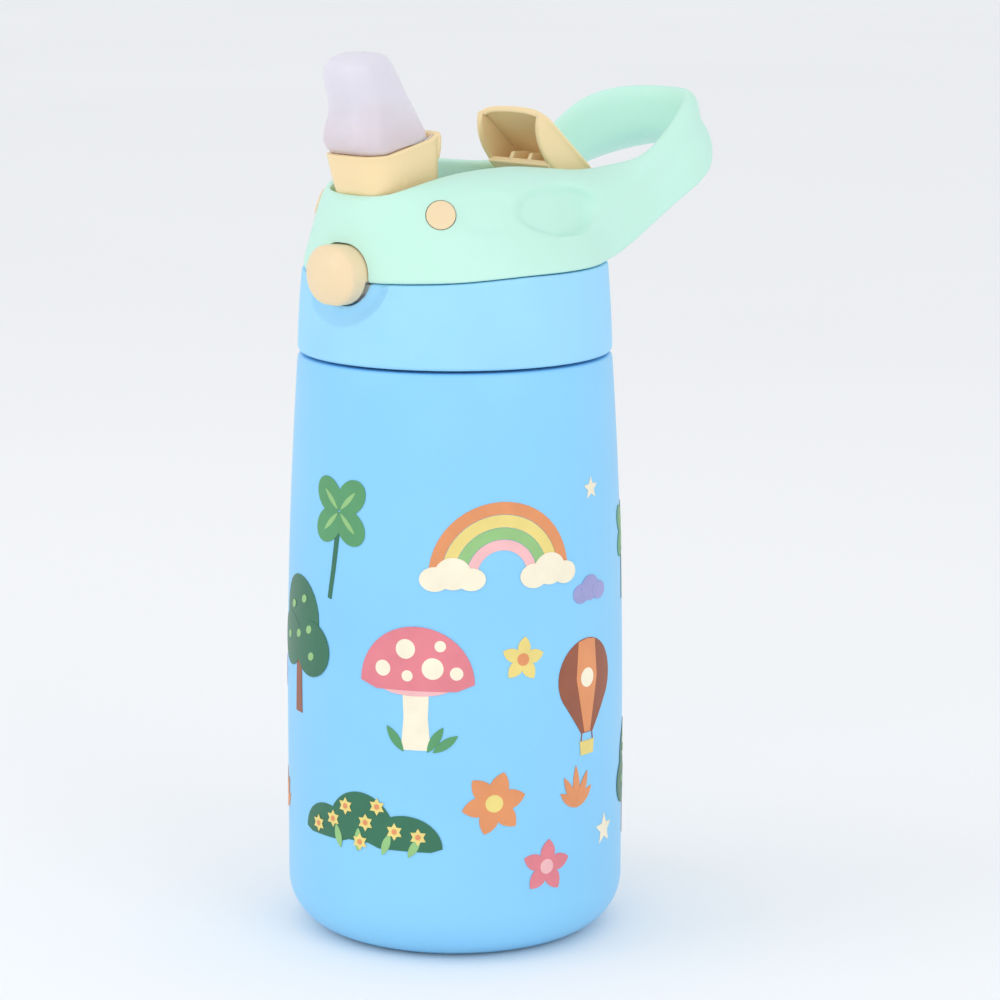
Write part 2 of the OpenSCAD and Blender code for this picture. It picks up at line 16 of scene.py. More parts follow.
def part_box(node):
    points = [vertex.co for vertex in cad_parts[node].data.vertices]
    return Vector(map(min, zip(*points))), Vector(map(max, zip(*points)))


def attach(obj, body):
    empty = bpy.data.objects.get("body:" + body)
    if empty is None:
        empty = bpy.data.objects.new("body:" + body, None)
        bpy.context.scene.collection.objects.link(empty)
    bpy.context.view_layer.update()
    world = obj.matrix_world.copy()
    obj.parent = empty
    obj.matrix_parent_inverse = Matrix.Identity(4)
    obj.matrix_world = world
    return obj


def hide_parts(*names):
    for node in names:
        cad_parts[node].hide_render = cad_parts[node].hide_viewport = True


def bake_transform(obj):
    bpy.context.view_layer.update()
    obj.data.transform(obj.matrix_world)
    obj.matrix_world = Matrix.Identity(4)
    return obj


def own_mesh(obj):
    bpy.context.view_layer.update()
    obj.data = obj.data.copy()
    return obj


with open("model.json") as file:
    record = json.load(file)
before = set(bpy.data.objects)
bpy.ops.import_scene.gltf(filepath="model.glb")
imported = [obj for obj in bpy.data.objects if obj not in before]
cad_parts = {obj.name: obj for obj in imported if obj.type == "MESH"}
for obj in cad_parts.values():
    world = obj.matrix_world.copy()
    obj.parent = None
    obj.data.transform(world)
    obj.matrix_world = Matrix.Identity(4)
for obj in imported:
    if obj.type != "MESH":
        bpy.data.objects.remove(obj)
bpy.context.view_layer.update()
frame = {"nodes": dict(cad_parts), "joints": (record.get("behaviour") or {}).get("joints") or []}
MM = 0.001


# %% [markdown]
# ## Sizes
# A CAD node's box gives its place, so no size is written twice. The meshes here are drawn in
# millimetres, as a product drawing is, and scaled to metres once, when the piece is finished.

# %% Sizes taken from the frame
def box_mm(node):
    low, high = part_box(node)
    return Vector(low) / MM, Vector(high) / MM


def joint_place(name):
    joint = next(j for j in frame["joints"] if j["name"] == name)
    return Vector(joint["pos_m"]) / MM


BODY_R, _, MOUTH_Z = box_mm("outer_shell")[1]
COLLAR_LOW, COLLAR_HIGH = box_mm("collar")
COLLAR_R = COLLAR_HIGH.x
SEAM_Z = COLLAR_HIGH.z
SHOULDER_Z = COLLAR_LOW.z - 0.6
PIVOT = joint_place("spout_flip")
HOOD_PIVOT = joint_place("hood_flip")
BUTTON_LOW, BUTTON_HIGH = box_mm("button_cap")
BUTTON_Z = (BUTTON_LOW.z + BUTTON_HIGH.z) / 2
BUTTON_HALF_W = (BUTTON_HIGH.x - BUTTON_LOW.x) / 2 - 0.1
BUTTON_HALF_H = (BUTTON_HIGH.z - BUTTON_LOW.z) / 2
print(f"body radius {BODY_R:.1f}, shoulder {SHOULDER_Z:.1f}, seam {SEAM_Z:.1f}, pivot {PIVOT}")

# %% [markdown]
# ## Camera
# A long lens from a little above flattens the perspective, so that the walls look upright. The camera
# stands 47 degrees round from the button. A small sideways shift leaves room for the carry loop.

# %% Camera
CAMERA_TURN = radians(47)
CAMERA_FAR = 0.74387
CAMERA_UP = 0.23472
CAMERA_PITCH = radians(10.752)
LENS_MM = 126.0
LENS_SHIFT = 0.045

camera = bpy.data.objects.new("camera", bpy.data.cameras.new("camera"))
bpy.context.scene.collection.objects.link(camera)
camera.data.lens = LENS_MM
camera.data.sensor_width = 36
camera.data.shift_x = LENS_SHIFT
camera.location = (CAMERA_FAR * sin(CAMERA_TURN), -CAMERA_FAR * cos(CAMERA_TURN), CAMERA_UP)
camera.rotation_euler = (pi / 2 - CAMERA_PITCH, 0, CAMERA_TURN)
bpy.context.scene.camera = camera
print("camera at", [round(c, 3) for c in camera.location])


# %% [markdown]
# ## Helpers for meshes
# Most moulded pieces are a stack of closed outlines, joined ring by ring: the same idea as skinning a
# boat over its frames. `bridge_loops` joins two rings, and the ends are closed with a face.

# %% Mesh helpers
def ring(bm, points):
    """A closed loop of edges through the points."""
    verts = [bm.verts.new(p) for p in points]
    return [bm.edges.new((verts[i], verts[(i + 1) % len(verts)])) for i in range(len(verts))]


def ring_verts(edges):
    return [edge.verts[0] for edge in edges]


def skin(bm, outlines, cap_first=True, cap_last=True):
    """Rings joined one to the next, with their ends closed if asked."""
    rings = [ring(bm, points) for points in outlines]
    for below, above in zip(rings, rings[1:]):
        bmesh.ops.bridge_loops(bm, edges=below + above)
    for wanted, edges in ((cap_first, rings[0]), (cap_last, rings[-1])):
        if wanted:
            bmesh.ops.contextual_create(bm, geom=edges)
    return rings


def spin_profile(bm, points, steps=128, angle=2 * pi, start=0.0):
    """A profile of (radius, height) points turned about the Z axis."""
    turn = Matrix.Rotation(start, 3, "Z")
    verts = [bm.verts.new(turn @ Vector((r, 0, z))) for r, z in points]
    edges = [bm.edges.new(pair) for pair in zip(verts, verts[1:])]
    full = abs(angle - 2 * pi) < 1e-6
    bmesh.ops.spin(bm, geom=verts + edges, axis=(0, 0, 1), cent=(0, 0, 0), angle=angle, steps=steps,
                   use_merge=full)


def arc(centre, radius, start, end, steps):
    """Points of an arc, angles in degrees."""
    turns = [radians(start + (end - start) * i / steps) for i in range(steps + 1)]
    return [(centre[0] + radius * cos(a), centre[1] + radius * sin(a)) for a in turns]


def rounded_rect(half_x, half_y, corner, per_corner=6):
    """Outline of a rounded rectangle about the origin, anticlockwise."""
    corner = min(corner, half_x, half_y)
    points = []
    for sx, sy, start in ((1, 1, 0), (-1, 1, 90), (-1, -1, 180), (1, -1, 270)):
        centre = (sx * (half_x - corner), sy * (half_y - corner))
        points += arc(centre, corner, start, start + 90, per_corner)
    return points


def between(a, b, t):
    return a + (b - a) * t


def follow(points, x):
    """Height of an outline, given as (x, height) points, at one place."""
    for (x0, y0), (x1, y1) in zip(points, points[1:]):
        if x <= x1:
            return between(y0, y1, max(0.0, (x - x0) / (x1 - x0)))
    return points[-1][1]


def smooth(t):
    t = min(1.0, max(0.0, t))
    return t * t * (3 - 2 * t)


# %% [markdown]
# ## Finishing a piece
# Every piece ends in the same way: doubles merged, faces turned outwards, millimetres made metres, and
# the mesh handed to a body, so that it moves with it. Modifiers are used up at once, so that the mesh
# holds what is seen.

# %% Piece helpers
def use_up_modifiers(piece):
    """The piece's mesh as its modifiers leave it."""
    shape = bpy.data.meshes.new_from_object(piece.evaluated_get(bpy.context.evaluated_depsgraph_get()))
    piece.modifiers.clear()
    old, piece.data = piece.data, shape
    bpy.data.meshes.remove(old)


def subdivide(piece, levels):
    modifier = piece.modifiers.new("soften", "SUBSURF")
    modifier.levels = modifier.render_levels = levels
    use_up_modifiers(piece)


def free_into_object(bm, name):
    mesh = bpy.data.meshes.new(name)
    bm.to_mesh(mesh)
    bm.free()
    piece = bpy.data.objects.new(name, mesh)
    bpy.context.scene.collection.objects.link(piece)
    return piece


def mesh_object(bm, name, merge=0.001):
    """An object from a bmesh in millimetres, its faces turned outwards."""
    bmesh.ops.remove_doubles(bm, verts=bm.verts, dist=merge)
    bmesh.ops.recalc_face_normals(bm, faces=bm.faces)
    return free_into_object(bm, name)


def cut(piece, tool, operation="DIFFERENCE"):
    """The piece with the tool's shape taken away, or added; the tool is used up."""
    modifier = piece.modifiers.new("cut", "BOOLEAN")
    modifier.operation = operation
    modifier.solver = "EXACT"
    modifier.object = tool
    use_up_modifiers(piece)
    bpy.data.objects.remove(tool)


def finish_piece(piece, body, material, replaces=(), sharp=40):
    """Metres, smooth shading with sharp corners kept, a material and a body to ride on."""
    piece.data.transform(Matrix.Scale(MM, 4))
    for one in material if isinstance(material, list) else [material]:
        piece.data.materials.append(one)
    piece.data.shade_smooth()
    piece.data.set_sharp_from_angle(angle=radians(sharp))
    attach(piece, body)
    if replaces:
        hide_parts(*replaces)
    print(f"{piece.name}: {len(piece.data.polygons)} faces on {body}")
    return piece


def skinned(name, outlines):
    """An object made of outlines skinned one to the next, closed at both ends."""
    bm = bmesh.new()
    skin(bm, outlines)
    return mesh_object(bm, name)


def rod(name, radius, start, end, steps=48, bevel=0.0):
    """A straight round rod between two points, its ends bevelled if asked."""
    start, end = Vector(start), Vector(end)
    bm = bmesh.new()
    bmesh.ops.create_cone(bm, cap_ends=True, segments=steps, radius1=radius, radius2=radius,
                          depth=(end - start).length)
    if bevel:
        rims = [e for e in bm.edges if abs(e.verts[0].co.z - e.verts[1].co.z) < 1e-6]
        bmesh.ops.bevel(bm, geom=rims, offset=bevel, segments=3, profile=0.5, affect="EDGES", material=-1)
    turn = (end - start).to_track_quat("Z", "Y").to_matrix().to_4x4()
    bmesh.ops.transform(bm, matrix=Matrix.Translation((start + end) / 2) @ turn, verts=bm.verts)
    return mesh_object(bm, name)


# %% [markdown]
# ## Material building blocks
# Real plastic and paint are never one flat colour. Three effects are shared, so each is a node group
# with its own inputs: a slow drift of colour, a fine moulded grain for the bump and the roughness, and
# wear along edges, found by comparing the surface's normal with a bevelled one.

# %% Shared node groups
def new_group(name, inputs, output_kinds):
    """An empty node group, its inputs given by their defaults: a tuple is a colour, the rest are numbers."""
    group = bpy.data.node_groups.new(name, "ShaderNodeTree")
    for label, value in inputs.items():
        kind = "NodeSocketColor" if isinstance(value, tuple) else "NodeSocketFloat"
        group.interface.new_socket(label, in_out="INPUT", socket_type=kind).default_value = value
    for label, kind in output_kinds.items():
        group.interface.new_socket(label, in_out="OUTPUT", socket_type=kind)
    return group, group.nodes.new("NodeGroupInput"), group.nodes.new("NodeGroupOutput")


def add_node(tree, kind, **settings):
    node = tree.nodes.new("ShaderNode" + kind)
    for key, value in settings.items():
        if key in node.inputs:
            node.inputs[key].default_value = value
        else:
            setattr(node, key, value)
    return node


def remap(tree, low, high, **settings):
    """A node that turns low into 0 and high into 1."""
    return add_node(tree, "MapRange", **{"From Min": low, "From Max": high}, **settings)


def wire(tree, *links):
    """Each link names a node and its output, then the node and the input that it feeds."""
    for source, output, target, entry in links:
        tree.links.new(source.outputs[output], target.inputs[entry])


def colour_drift():
    """Two tints of one colour, mixed by slow noise."""
    white = (1, 1, 1, 1)
    group, given, out = new_group("colour drift", {"Tint A": white, "Tint B": white, "Scale": 40.0},
                                  {"Color": "NodeSocketColor"})
    place = add_node(group, "TexCoord")
    noise = add_node(group, "TexNoise", Detail=3.0)
    spread = remap(group, 0.3, 0.7)
    mix = add_node(group, "Mix", data_type="RGBA")
    wire(group, (place, "Object", noise, "Vector"), (given, "Scale", noise, "Scale"),
         (noise, "Fac", spread, "Value"), (spread, "Result", mix, "Factor"), (given, "Tint A", mix, 6),
         (given, "Tint B", mix, 7), (mix, 2, out, "Color"))
    return group


def moulded_grain():
    """Fine grain: a height for bump, and a roughness that varies with it."""
    group, given, out = new_group("moulded grain", {"Scale": 2500.0, "Roughness": 0.5, "Spread": 0.08},
                                  {"Height": "NodeSocketFloat", "Roughness": "NodeSocketFloat"})
    place = add_node(group, "TexCoord")
    fine = add_node(group, "TexNoise", Detail=4.0, Roughness=0.6)
    broad = add_node(group, "TexNoise", Scale=120.0, Detail=2.0)
    centred = add_node(group, "Math", operation="SUBTRACT")
    centred.inputs[1].default_value = 0.5
    scaled = add_node(group, "Math", operation="MULTIPLY")
    total = add_node(group, "Math", operation="ADD", use_clamp=True)
    wire(group, (place, "Object", fine, "Vector"), (place, "Object", broad, "Vector"),
         (given, "Scale", fine, "Scale"), (broad, "Fac", centred, 0), (centred, 0, scaled, 0),
         (given, "Spread", scaled, 1), (scaled, 0, total, 0), (given, "Roughness", total, 1),
         (fine, "Fac", out, "Height"), (total, 0, out, "Roughness"))
    return group


def edge_wear():
    """A mask that is 1 on worn convex edges, broken up by noise."""
    group, given, out = new_group("edge wear", {"Width": 0.0008, "Amount": 0.5}, {"Mask": "NodeSocketFloat"})
    bevel = add_node(group, "Bevel", samples=4)
    shape = add_node(group, "NewGeometry")
    dot = add_node(group, "VectorMath", operation="DOT_PRODUCT")
    edge = remap(group, 0.995, 0.9)
    place = add_node(group, "TexCoord")
    noise = add_node(group, "TexNoise", Scale=500.0, Detail=4.0)
    breaks = remap(group, 0.4, 0.65)
    worn = add_node(group, "Math", operation="MULTIPLY")
    total = add_node(group, "Math", operation="MULTIPLY", use_clamp=True)
    wire(group, (given, "Width", bevel, "Radius"), (bevel, 0, dot, 0), (shape, "Normal", dot, 1),
         (dot, "Value", edge, "Value"), (place, "Object", noise, "Vector"), (noise, "Fac", breaks, "Value"),
         (edge, "Result", worn, 0), (breaks, "Result", worn, 1), (worn, 0, total, 0),
         (given, "Amount", total, 1), (total, 0, out, "Mask"))
    return group


DRIFT, GRAIN, WEAR = colour_drift(), moulded_grain(), edge_wear()
print("node groups:", [g.name for g in (DRIFT, GRAIN, WEAR)])

# %% [markdown]
# ## One recipe for all finishes
# Every finish here is a Principled shader fed by the three groups. The two tints set the colour, the
# grain sets how matt it is, and the worn tint shows where hands and table tops have rubbed the edges.
# What is the same all over a surface, such as its sheen or its coat, is set on the shader itself.

# %% Finish recipe
WEAR_WIDTH = 0.0008
BUMP_DEPTH = 0.0002


def srgb(r, g, b):
    """A colour picked on a screen, 0 to 255, as the linear light that shaders use."""
    return tuple(((c / 255 + 0.055) / 1.055) ** 2.4 if c > 10 else c / 255 / 12.92 for c in (r, g, b)) + (1,)


def finish(name, tint_a, tint_b, worn, rough, grain=2500.0, bump=0.1, wear=0.35, drift=40.0, spread=0.08,
           **principled):
    """A material; what is left over are settings of the Principled shader, with _ for a space."""
    material = bpy.data.materials.new(name)
    material.use_nodes = True
    tree = material.node_tree
    shader = tree.nodes["Principled BSDF"]
    drifting, grained, rubbed = [add_node(tree, "Group", node_tree=group) for group in (DRIFT, GRAIN, WEAR)]
    for node, values in ((drifting, {"Tint A": srgb(*tint_a), "Tint B": srgb(*tint_b), "Scale": drift}),
                         (grained, {"Scale": grain, "Roughness": rough, "Spread": spread}),
                         (rubbed, {"Width": WEAR_WIDTH, "Amount": wear})):
        for key, value in values.items():
            node.inputs[key].default_value = value
    mix = add_node(tree, "Mix", data_type="RGBA")
    mix.inputs[7].default_value = srgb(*worn)
    height = add_node(tree, "Bump", Strength=bump, Distance=BUMP_DEPTH)
    wire(tree, (drifting, "Color", mix, 6), (rubbed, "Mask", mix, "Factor"), (mix, 2, shader, "Base Color"),
         (grained, "Roughness", shader, "Roughness"), (grained, "Height", height, "Height"),
         (height, "Normal", shader, "Normal"))
    for key, value in principled.items():
        shader.inputs[key.replace("_", " ")].default_value = value
    return material


def glow(weight, radius_mm, scale=0.5):
    """Settings for a plastic that lets a little light in."""
    return {"Subsurface_Weight": weight, "Subsurface_Radius": tuple(r / 1000 for r in radius_mm),
            "Subsurface_Scale": scale}


BLUE_COAT = finish("blue powder coat", (132, 203, 246), (140, 210, 250), (170, 222, 252), 0.42, grain=3200.0,
                   bump=0.16, drift=18.0, Coat_Weight=0.15, Coat_Roughness=0.3)
COLLAR_BLUE = finish("light blue moulded plastic", (150, 213, 252), (158, 219, 254), (190, 232, 255), 0.5,
                     grain=2600.0, bump=0.12, **glow(0.08, (2, 3, 4)))
MINT = finish("mint moulded plastic", (194, 238, 220), (198, 240, 225), (218, 247, 237), 0.52, wear=0.15,
              grain=2400.0, bump=0.14, **glow(0.1, (3, 4, 3)))
CREAM = finish("cream satin plastic", (244, 216, 166), (246, 220, 171), (250, 230, 192), 0.26, wear=0.1,
               grain=2000.0, bump=0.05, **glow(0.12, (4, 3, 1.5)))
BUTTON_CREAM = finish("cream matt plastic", (238, 213, 172), (240, 217, 178), (247, 230, 200), 0.42, wear=0.1,
                      grain=2400.0, bump=0.1, **glow(0.1, (4, 3, 1.5)))
WHITE = finish("white food-safe plastic", (238, 238, 234), (244, 244, 240), (252, 252, 250), 0.4, bump=0.06,
               Subsurface_Weight=0.15, Subsurface_Radius=(0.003, 0.003, 0.003))
CLEAR = finish("clear silicone", (225, 226, 230), (236, 236, 240), (250, 250, 250), 0.35, bump=0.05,
               Subsurface_Weight=0.5, Subsurface_Radius=(0.004, 0.004, 0.004))
STEEL = finish("brushed steel", (196, 197, 200), (214, 215, 217), (240, 240, 240), 0.3, grain=900.0,
               bump=0.08, drift=90.0, spread=0.25, Metallic=1.0)
print("finishes:", len(bpy.data.materials))

# %% [markdown]
# ## The lilac silicone
# The spout is milky and lets light in, so it takes a strong subsurface weight. Its wall is thicker
# near the holder, where the light through it looks warmer, and this warmth is painted: a ramp along the
# height, in Object coordinates, turns the tint from a painted warm grey to lilac, and noise keeps the change
# from being a ruled line.

# %% Lilac silicone
def lilac_silicone(z_low, z_high):
    material = finish("lilac silicone", (218, 214, 224), (222, 218, 227), (234, 232, 238), 0.36, wear=0.1,
                      grain=1500.0, bump=0.05, Sheen_Weight=0.15, **glow(0.6, (6, 5, 6), 0.6))
    tree = material.node_tree
    place = add_node(tree, "TexCoord")
    split = add_node(tree, "SeparateXYZ")
    noise = add_node(tree, "TexNoise", Scale=90.0, Detail=2.0)
    wobble = add_node(tree, "Math", operation="MULTIPLY_ADD")
    wobble.inputs[1].default_value = 0.012
    # Painted warmth: a warm grey multiplied into the lilac below z_low, fading out by z_high, standing in for
    # light through the thick silicone near the holder.
    ramp = remap(tree, z_low * MM, z_high * MM, interpolation_type="SMOOTHSTEP")
    invert = add_node(tree, "Math", operation="SUBTRACT", use_clamp=True)
    invert.inputs[0].default_value = 1.0
    tint = add_node(tree, "Mix", data_type="RGBA", blend_type="MULTIPLY")
    tint.inputs[7].default_value = srgb(246, 232, 226)
    shader = tree.nodes["Principled BSDF"]
    tree.links.new(shader.inputs["Base Color"].links[0].from_socket, tint.inputs[6])
    wire(tree, (place, "Object", split, 0), (place, "Object", noise, "Vector"), (noise, "Fac", wobble, 0),
         (split, "Z", wobble, 2), (wobble, 0, ramp, "Value"), (ramp, "Result", invert, 1),
         (invert, 0, tint, "Factor"), (tint, 2, shader, "Base Color"))
    return material


# Heights where the painted warmth is full and where it has faded out.
WARM_Z, COOL_Z = PIVOT.z + 16, PIVOT.z + 30
LILAC = lilac_silicone(WARM_Z, COOL_Z)
print("lilac silicone runs from", round(WARM_Z, 1), "to", round(COOL_Z, 1), "mm")

# %% [markdown]
# ## Steel body
# The real body is deep-drawn steel: a straight lower half, a generous bottom corner and a slow draw-in
# towards the shoulder. It is round all over, so one half profile is spun about the axis. The spin
# operator also makes the thread: with a step along Z at each step of the turn, it becomes a screw.

# %% Steel body
CORNER_R = 11.0
TAPER_Z = 46.0
STEEL_T = 0.8
NECK_R = 29.0
DISC_R = 22.0


def body_radius(z):
    """Radius of the steel body at a height above its straight part."""
    t = max(0.0, (z - TAPER_Z) / (SHOULDER_Z - TAPER_Z))
    return BODY_R - (BODY_R - COLLAR_R) * t * t


def steel_body():
    lip = 0.9
    outside = [(DISC_R, 0.35), (DISC_R + 0.3, 0.0)]
    outside += arc((BODY_R - CORNER_R, CORNER_R), CORNER_R, -90, 0, 16)
    outside += [(body_radius(z), z) for z in (20, 32, TAPER_Z)]
    heights = [between(TAPER_Z, SHOULDER_Z - lip, i / 14) for i in range(1, 15)]
    outside += [(body_radius(z), z) for z in heights]
    outside += arc((body_radius(SHOULDER_Z) - lip, SHOULDER_Z - lip), lip, 10, 90, 5)
    outside += arc((NECK_R + 0.8, SHOULDER_Z + 0.8), 0.8, 270, 180, 4)
    outside += arc((NECK_R - 0.4, MOUTH_Z - 0.4), 0.4, 0, 90, 3)
    inside = [(NECK_R - STEEL_T, MOUTH_Z), (NECK_R - STEEL_T, SHOULDER_Z - STEEL_T)]
    inside += [(body_radius(z) - STEEL_T, z) for z in reversed(heights[:-1])]
    inside += arc((BODY_R - CORNER_R, CORNER_R), CORNER_R - STEEL_T, 0, -90, 12)
    inside += [(DISC_R + STEEL_T, STEEL_T), (DISC_R + STEEL_T, 2 * STEEL_T), (DISC_R, 2 * STEEL_T)]
    bm = bmesh.new()
    spin_profile(bm, outside + inside + outside[:1], steps=160)
    return mesh_object(bm, "steel_body")


def thread(name, wall_r, side, z0, turns=1.25, pitch=4.0, depth=0.9):
    """A rounded ridge screwed round the axis."""
    steps = round(turns * 72)
    bm = bmesh.new()
    section = [(-0.3, -0.95), (0.15, -0.8), (depth - 0.1, -0.45), (depth, -0.2), (depth, 0.2),
               (depth - 0.1, 0.45), (0.15, 0.8), (-0.3, 0.95)]
    edges = ring(bm, [(wall_r + side * out, 0, z0 + up) for out, up in section])
    start = bmesh.ops.contextual_create(bm, geom=edges)["faces"]
    bmesh.ops.spin(bm, geom=start, axis=(0, 0, 1), cent=(0, 0, 0), angle=2 * pi * turns, steps=steps,
                   dvec=(0, 0, pitch * turns / steps))
    return mesh_object(bm, name)


def join(first, second):
    """Two objects' meshes in one, as separate closed shells."""
    bm = bmesh.new()
    bm.from_mesh(first.data)
    bm.from_mesh(second.data)
    bm.to_mesh(first.data)
    bm.free()
    bpy.data.objects.remove(second)
    return first


body = join(steel_body(), thread("neck_thread", NECK_R, 1, SHOULDER_Z + 3.2))
finish_piece(body, "bottle", BLUE_COAT, ["outer_shell"])

# %% [markdown]
# ## Printed motifs: flat shapes
# The body is decorated with plain generic shapes of this lesson's own: a rainbow, toadstools, trees,
# bushes, balloons, daisies, clovers, stars and clouds. A motif is a list of flat outlines in
# millimetres, each with the ink it is printed in and its layer, since details lie over broad shapes.

# %% Inks and flat shapes
INKS = {"dark green": (42, 112, 82), "green": (86, 158, 104), "light green": (150, 200, 128),
        "pink": (232, 130, 142), "soft pink": (248, 190, 192), "yellow": (242, 220, 130),
        "orange": (232, 150, 96), "brown": (152, 84, 56), "cream": (252, 242, 216), "lilac": (158, 160, 212)}
INK_NAMES = list(INKS)
INK_MATERIALS = [finish(name + " ink", shade, [c * 0.95 for c in shade], shade, 0.45, grain=1800.0, bump=0.08,
                        wear=0.0, drift=160.0, Coat_Weight=0.1) for name, shade in INKS.items()]


def placed(points, x, y, turn):
    """Points turned about the origin, then moved to (x, y)."""
    c, s = cos(radians(turn)), sin(radians(turn))
    return [(x + c * a - s * b, y + s * a + c * b) for a, b in points]


def oval(x, y, rx, ry=None, turn=0, steps=28):
    ry = rx if ry is None else ry
    points = [(rx * cos(2 * pi * i / steps), ry * sin(2 * pi * i / steps)) for i in range(steps)]
    return placed(points, x, y, turn)


def petal(x, y, length, width, turn, steps=10):
    """A pointed leaf that starts at (x, y) and grows along its angle."""
    edge = [(length * i / steps, width / 2 * sin(pi * i / steps) ** 0.8) for i in range(1, steps)]
    return placed([(0, 0)] + edge + [(length, 0)] + [(a, -b) for a, b in reversed(edge)], x, y, turn)


def band(r_out, r_in):
    """Half a ring, standing on its ends."""
    return arc((0, 0), r_out, 0, 180, 24) + arc((0, 0), r_in, 180, 0, 24)


def dome(x, y, rx, ry):
    """The upper half of an oval, with a slightly rounded foot."""
    upper = [(x + rx * cos(pi * i / 24), y + ry * sin(pi * i / 24)) for i in range(25)]
    return upper + [(x - rx * 0.7, y - ry * 0.12), (x + rx * 0.7, y - ry * 0.12)]


def star(x, y, r, points=5, inner=0.45):
    return [(x + (r, r * inner)[i % 2] * cos(pi / 2 + pi * i / points),
             y + (r, r * inner)[i % 2] * sin(pi / 2 + pi * i / points)) for i in range(2 * points)]


print("inks:", ", ".join(INK_NAMES))

# %% [markdown]
# ## Printed motifs: what they show
# Each function returns one motif about its own middle.

# %% Motifs
def cloud(shade="cream"):
    puffs = [(-3.6, 0, 3.2, 2.6), (0.2, 1.2, 3.8, 3.4), (4.0, 0, 3.0, 2.4)]
    return [(shade, i, oval(*puff)) for i, puff in enumerate(puffs)]


def shifted(motif, x, y):
    return [(shade, layer, [(a + x, b + y) for a, b in outline]) for shade, layer, outline in motif]


def rainbow():
    bows = [("orange", 15.5, 12.9), ("yellow", 12.8, 10.2), ("light green", 10.1, 7.7),
            ("soft pink", 7.6, 5.4)]
    feet = [(shade, layer + 2, puff)
            for x in (-10.6, 10.6) for shade, layer, puff in shifted(cloud(), x, -0.5)]
    return shifted([(shade, 0, band(r_out, r_in)) for shade, r_out, r_in in bows] + feet, 0, -6)


def toadstool():
    stem = [(-3.2, -13), (3.2, -13), (2.6, -6), (2.9, 1), (-2.9, 1), (-2.6, -6)]
    spots = [(-7.2, 4.2, 1.7), (-2.2, 8.6, 2.1), (3.6, 4.6, 2.3), (8.6, 3.6, 1.4), (-1.8, 2.9, 1.2),
             (5.2, 9.4, 1.2)]
    blades = [(-2.6, 125), (2.4, 58), (3.6, 35)]
    gills, cap = oval(0, 0.4, 7.5, 1.8), dome(0, 1.2, 12.4, 12.2)
    return ([("cream", 0, stem), ("soft pink", 1, gills), ("pink", 2, cap)]
            + [("cream", 3, oval(*spot)) for spot in spots]
            + [("green", 1, petal(x, -13.4, 6.5, 2.0, turn)) for x, turn in blades])


def tree():
    crown = [(0, 4, 8.2, 8.6), (-5.0, -1.5, 6.2, 5.6), (5.2, -1.8, 6.4, 5.8)]
    fruit = [(-3, 6), (2.5, 8), (4.6, 2), (-6, -1), (5.5, -3.4), (0, 0.4)]
    return ([("brown", 0, [(-1.6, -16), (1.6, -16), (1.2, -2), (-1.2, -2)])]
            + [("dark green", 1 + i, oval(*c)) for i, c in enumerate(crown)]
            + [("light green", 4, oval(x, y, 1.1, 0.8, 30)) for x, y in fruit])


def bush():
    mounds = [(-10.5, -1.0, 7.2, 6.4), (-1.0, 0, 8.8, 9.6), (9.6, -1.2, 8.2, 6.8)]
    flowers = [(-13, 0.6), (-8.2, 2.6), (-4.6, 6.0), (0.6, 3.2), (3.4, 7.0), (7.4, 2.0), (12.6, 1.2),
               (-0.8, -1.2)]
    stalks = [(-6, 105), (4.6, 70), (-1.4, 88), (10.4, 60)]
    return ([("dark green", i, dome(*m)) for i, m in enumerate(mounds)]
            + [("light green", 3, petal(x, -3.4, 5.2, 1.8, turn)) for x, turn in stalks]
            + [("yellow", 4, star(x, y, 1.9, 6, 0.6)) for x, y in flowers]
            + [("orange", 5, oval(x, y, 0.6)) for x, y in flowers])


def balloon():
    bag = arc((0, 4), 9.0, -30, 210, 28) + [(-2.0, -8.6), (2.0, -8.6)]
    stripe = [(-2.9, 12.4), (-3.6, 4), (-1.0, -8.4), (1.0, -8.4), (3.6, 4), (2.9, 12.4), (0, 12.9)]
    return [("brown", 0, bag), ("orange", 1, stripe), ("cream", 2, oval(0, 4, 2.2, 2.2)),
            ("yellow", 1, [(-2.2, -13.6), (2.2, -13.6), (2.5, -10.4), (-2.5, -10.4)]),
            ("brown", 0, [(-2.2, -10.6), (-1.9, -8.4), (-1.6, -8.4), (-1.9, -10.6)]),
            ("brown", 0, [(1.9, -10.6), (1.6, -8.4), (1.9, -8.4), (2.2, -10.6)])]


def clover():
    def out(a, r):
        return r * cos(radians(a)), 4 + r * sin(radians(a))

    turns = (45, 135, 225, 315)
    stem = [(-0.5, 3), (-1.6, -6), (-2.4, -11), (-1.5, -11.2), (-0.6, -6), (0.6, 3)]
    return ([("dark green", 0, stem)] + [("green", 1, oval(*out(a, 3.6), 3.4, 2.7, a)) for a in turns]
            + [("light green", 2, petal(*out(a, 0.4), 4.6, 0.9, a)) for a in turns])


def daisy(shade="orange", middle="yellow", count=6, size=1.0):
    petals = [(shade, i % 2, petal(0, 0, 7.0 * size, 4.2 * size, 360 * i / count + 12)) for i in range(count)]
    return petals + [(middle, 2, oval(0, 0, 1.9 * size))]


def tuft(shade="orange"):
    blades = [(40, 6.2), (66, 8.2), (92, 9.2), (118, 8.0), (142, 6.0)]
    return [(shade, i % 2, petal(0, -4, length, 2.0, turn)) for i, (turn, length) in enumerate(blades)]


def small_star(shade="lilac"):
    return [(shade, 0, star(0, 0, 3.6))]

# %% [markdown]
# ## Printed motifs: wrapped on the body
# A flat outline is filled, sliced so that it can bend, and rolled onto the body: its width becomes an
# angle and its height finds the body's radius. Solidify then turns it into a pad less than a tenth of
# a millimetre thick, as a print is.

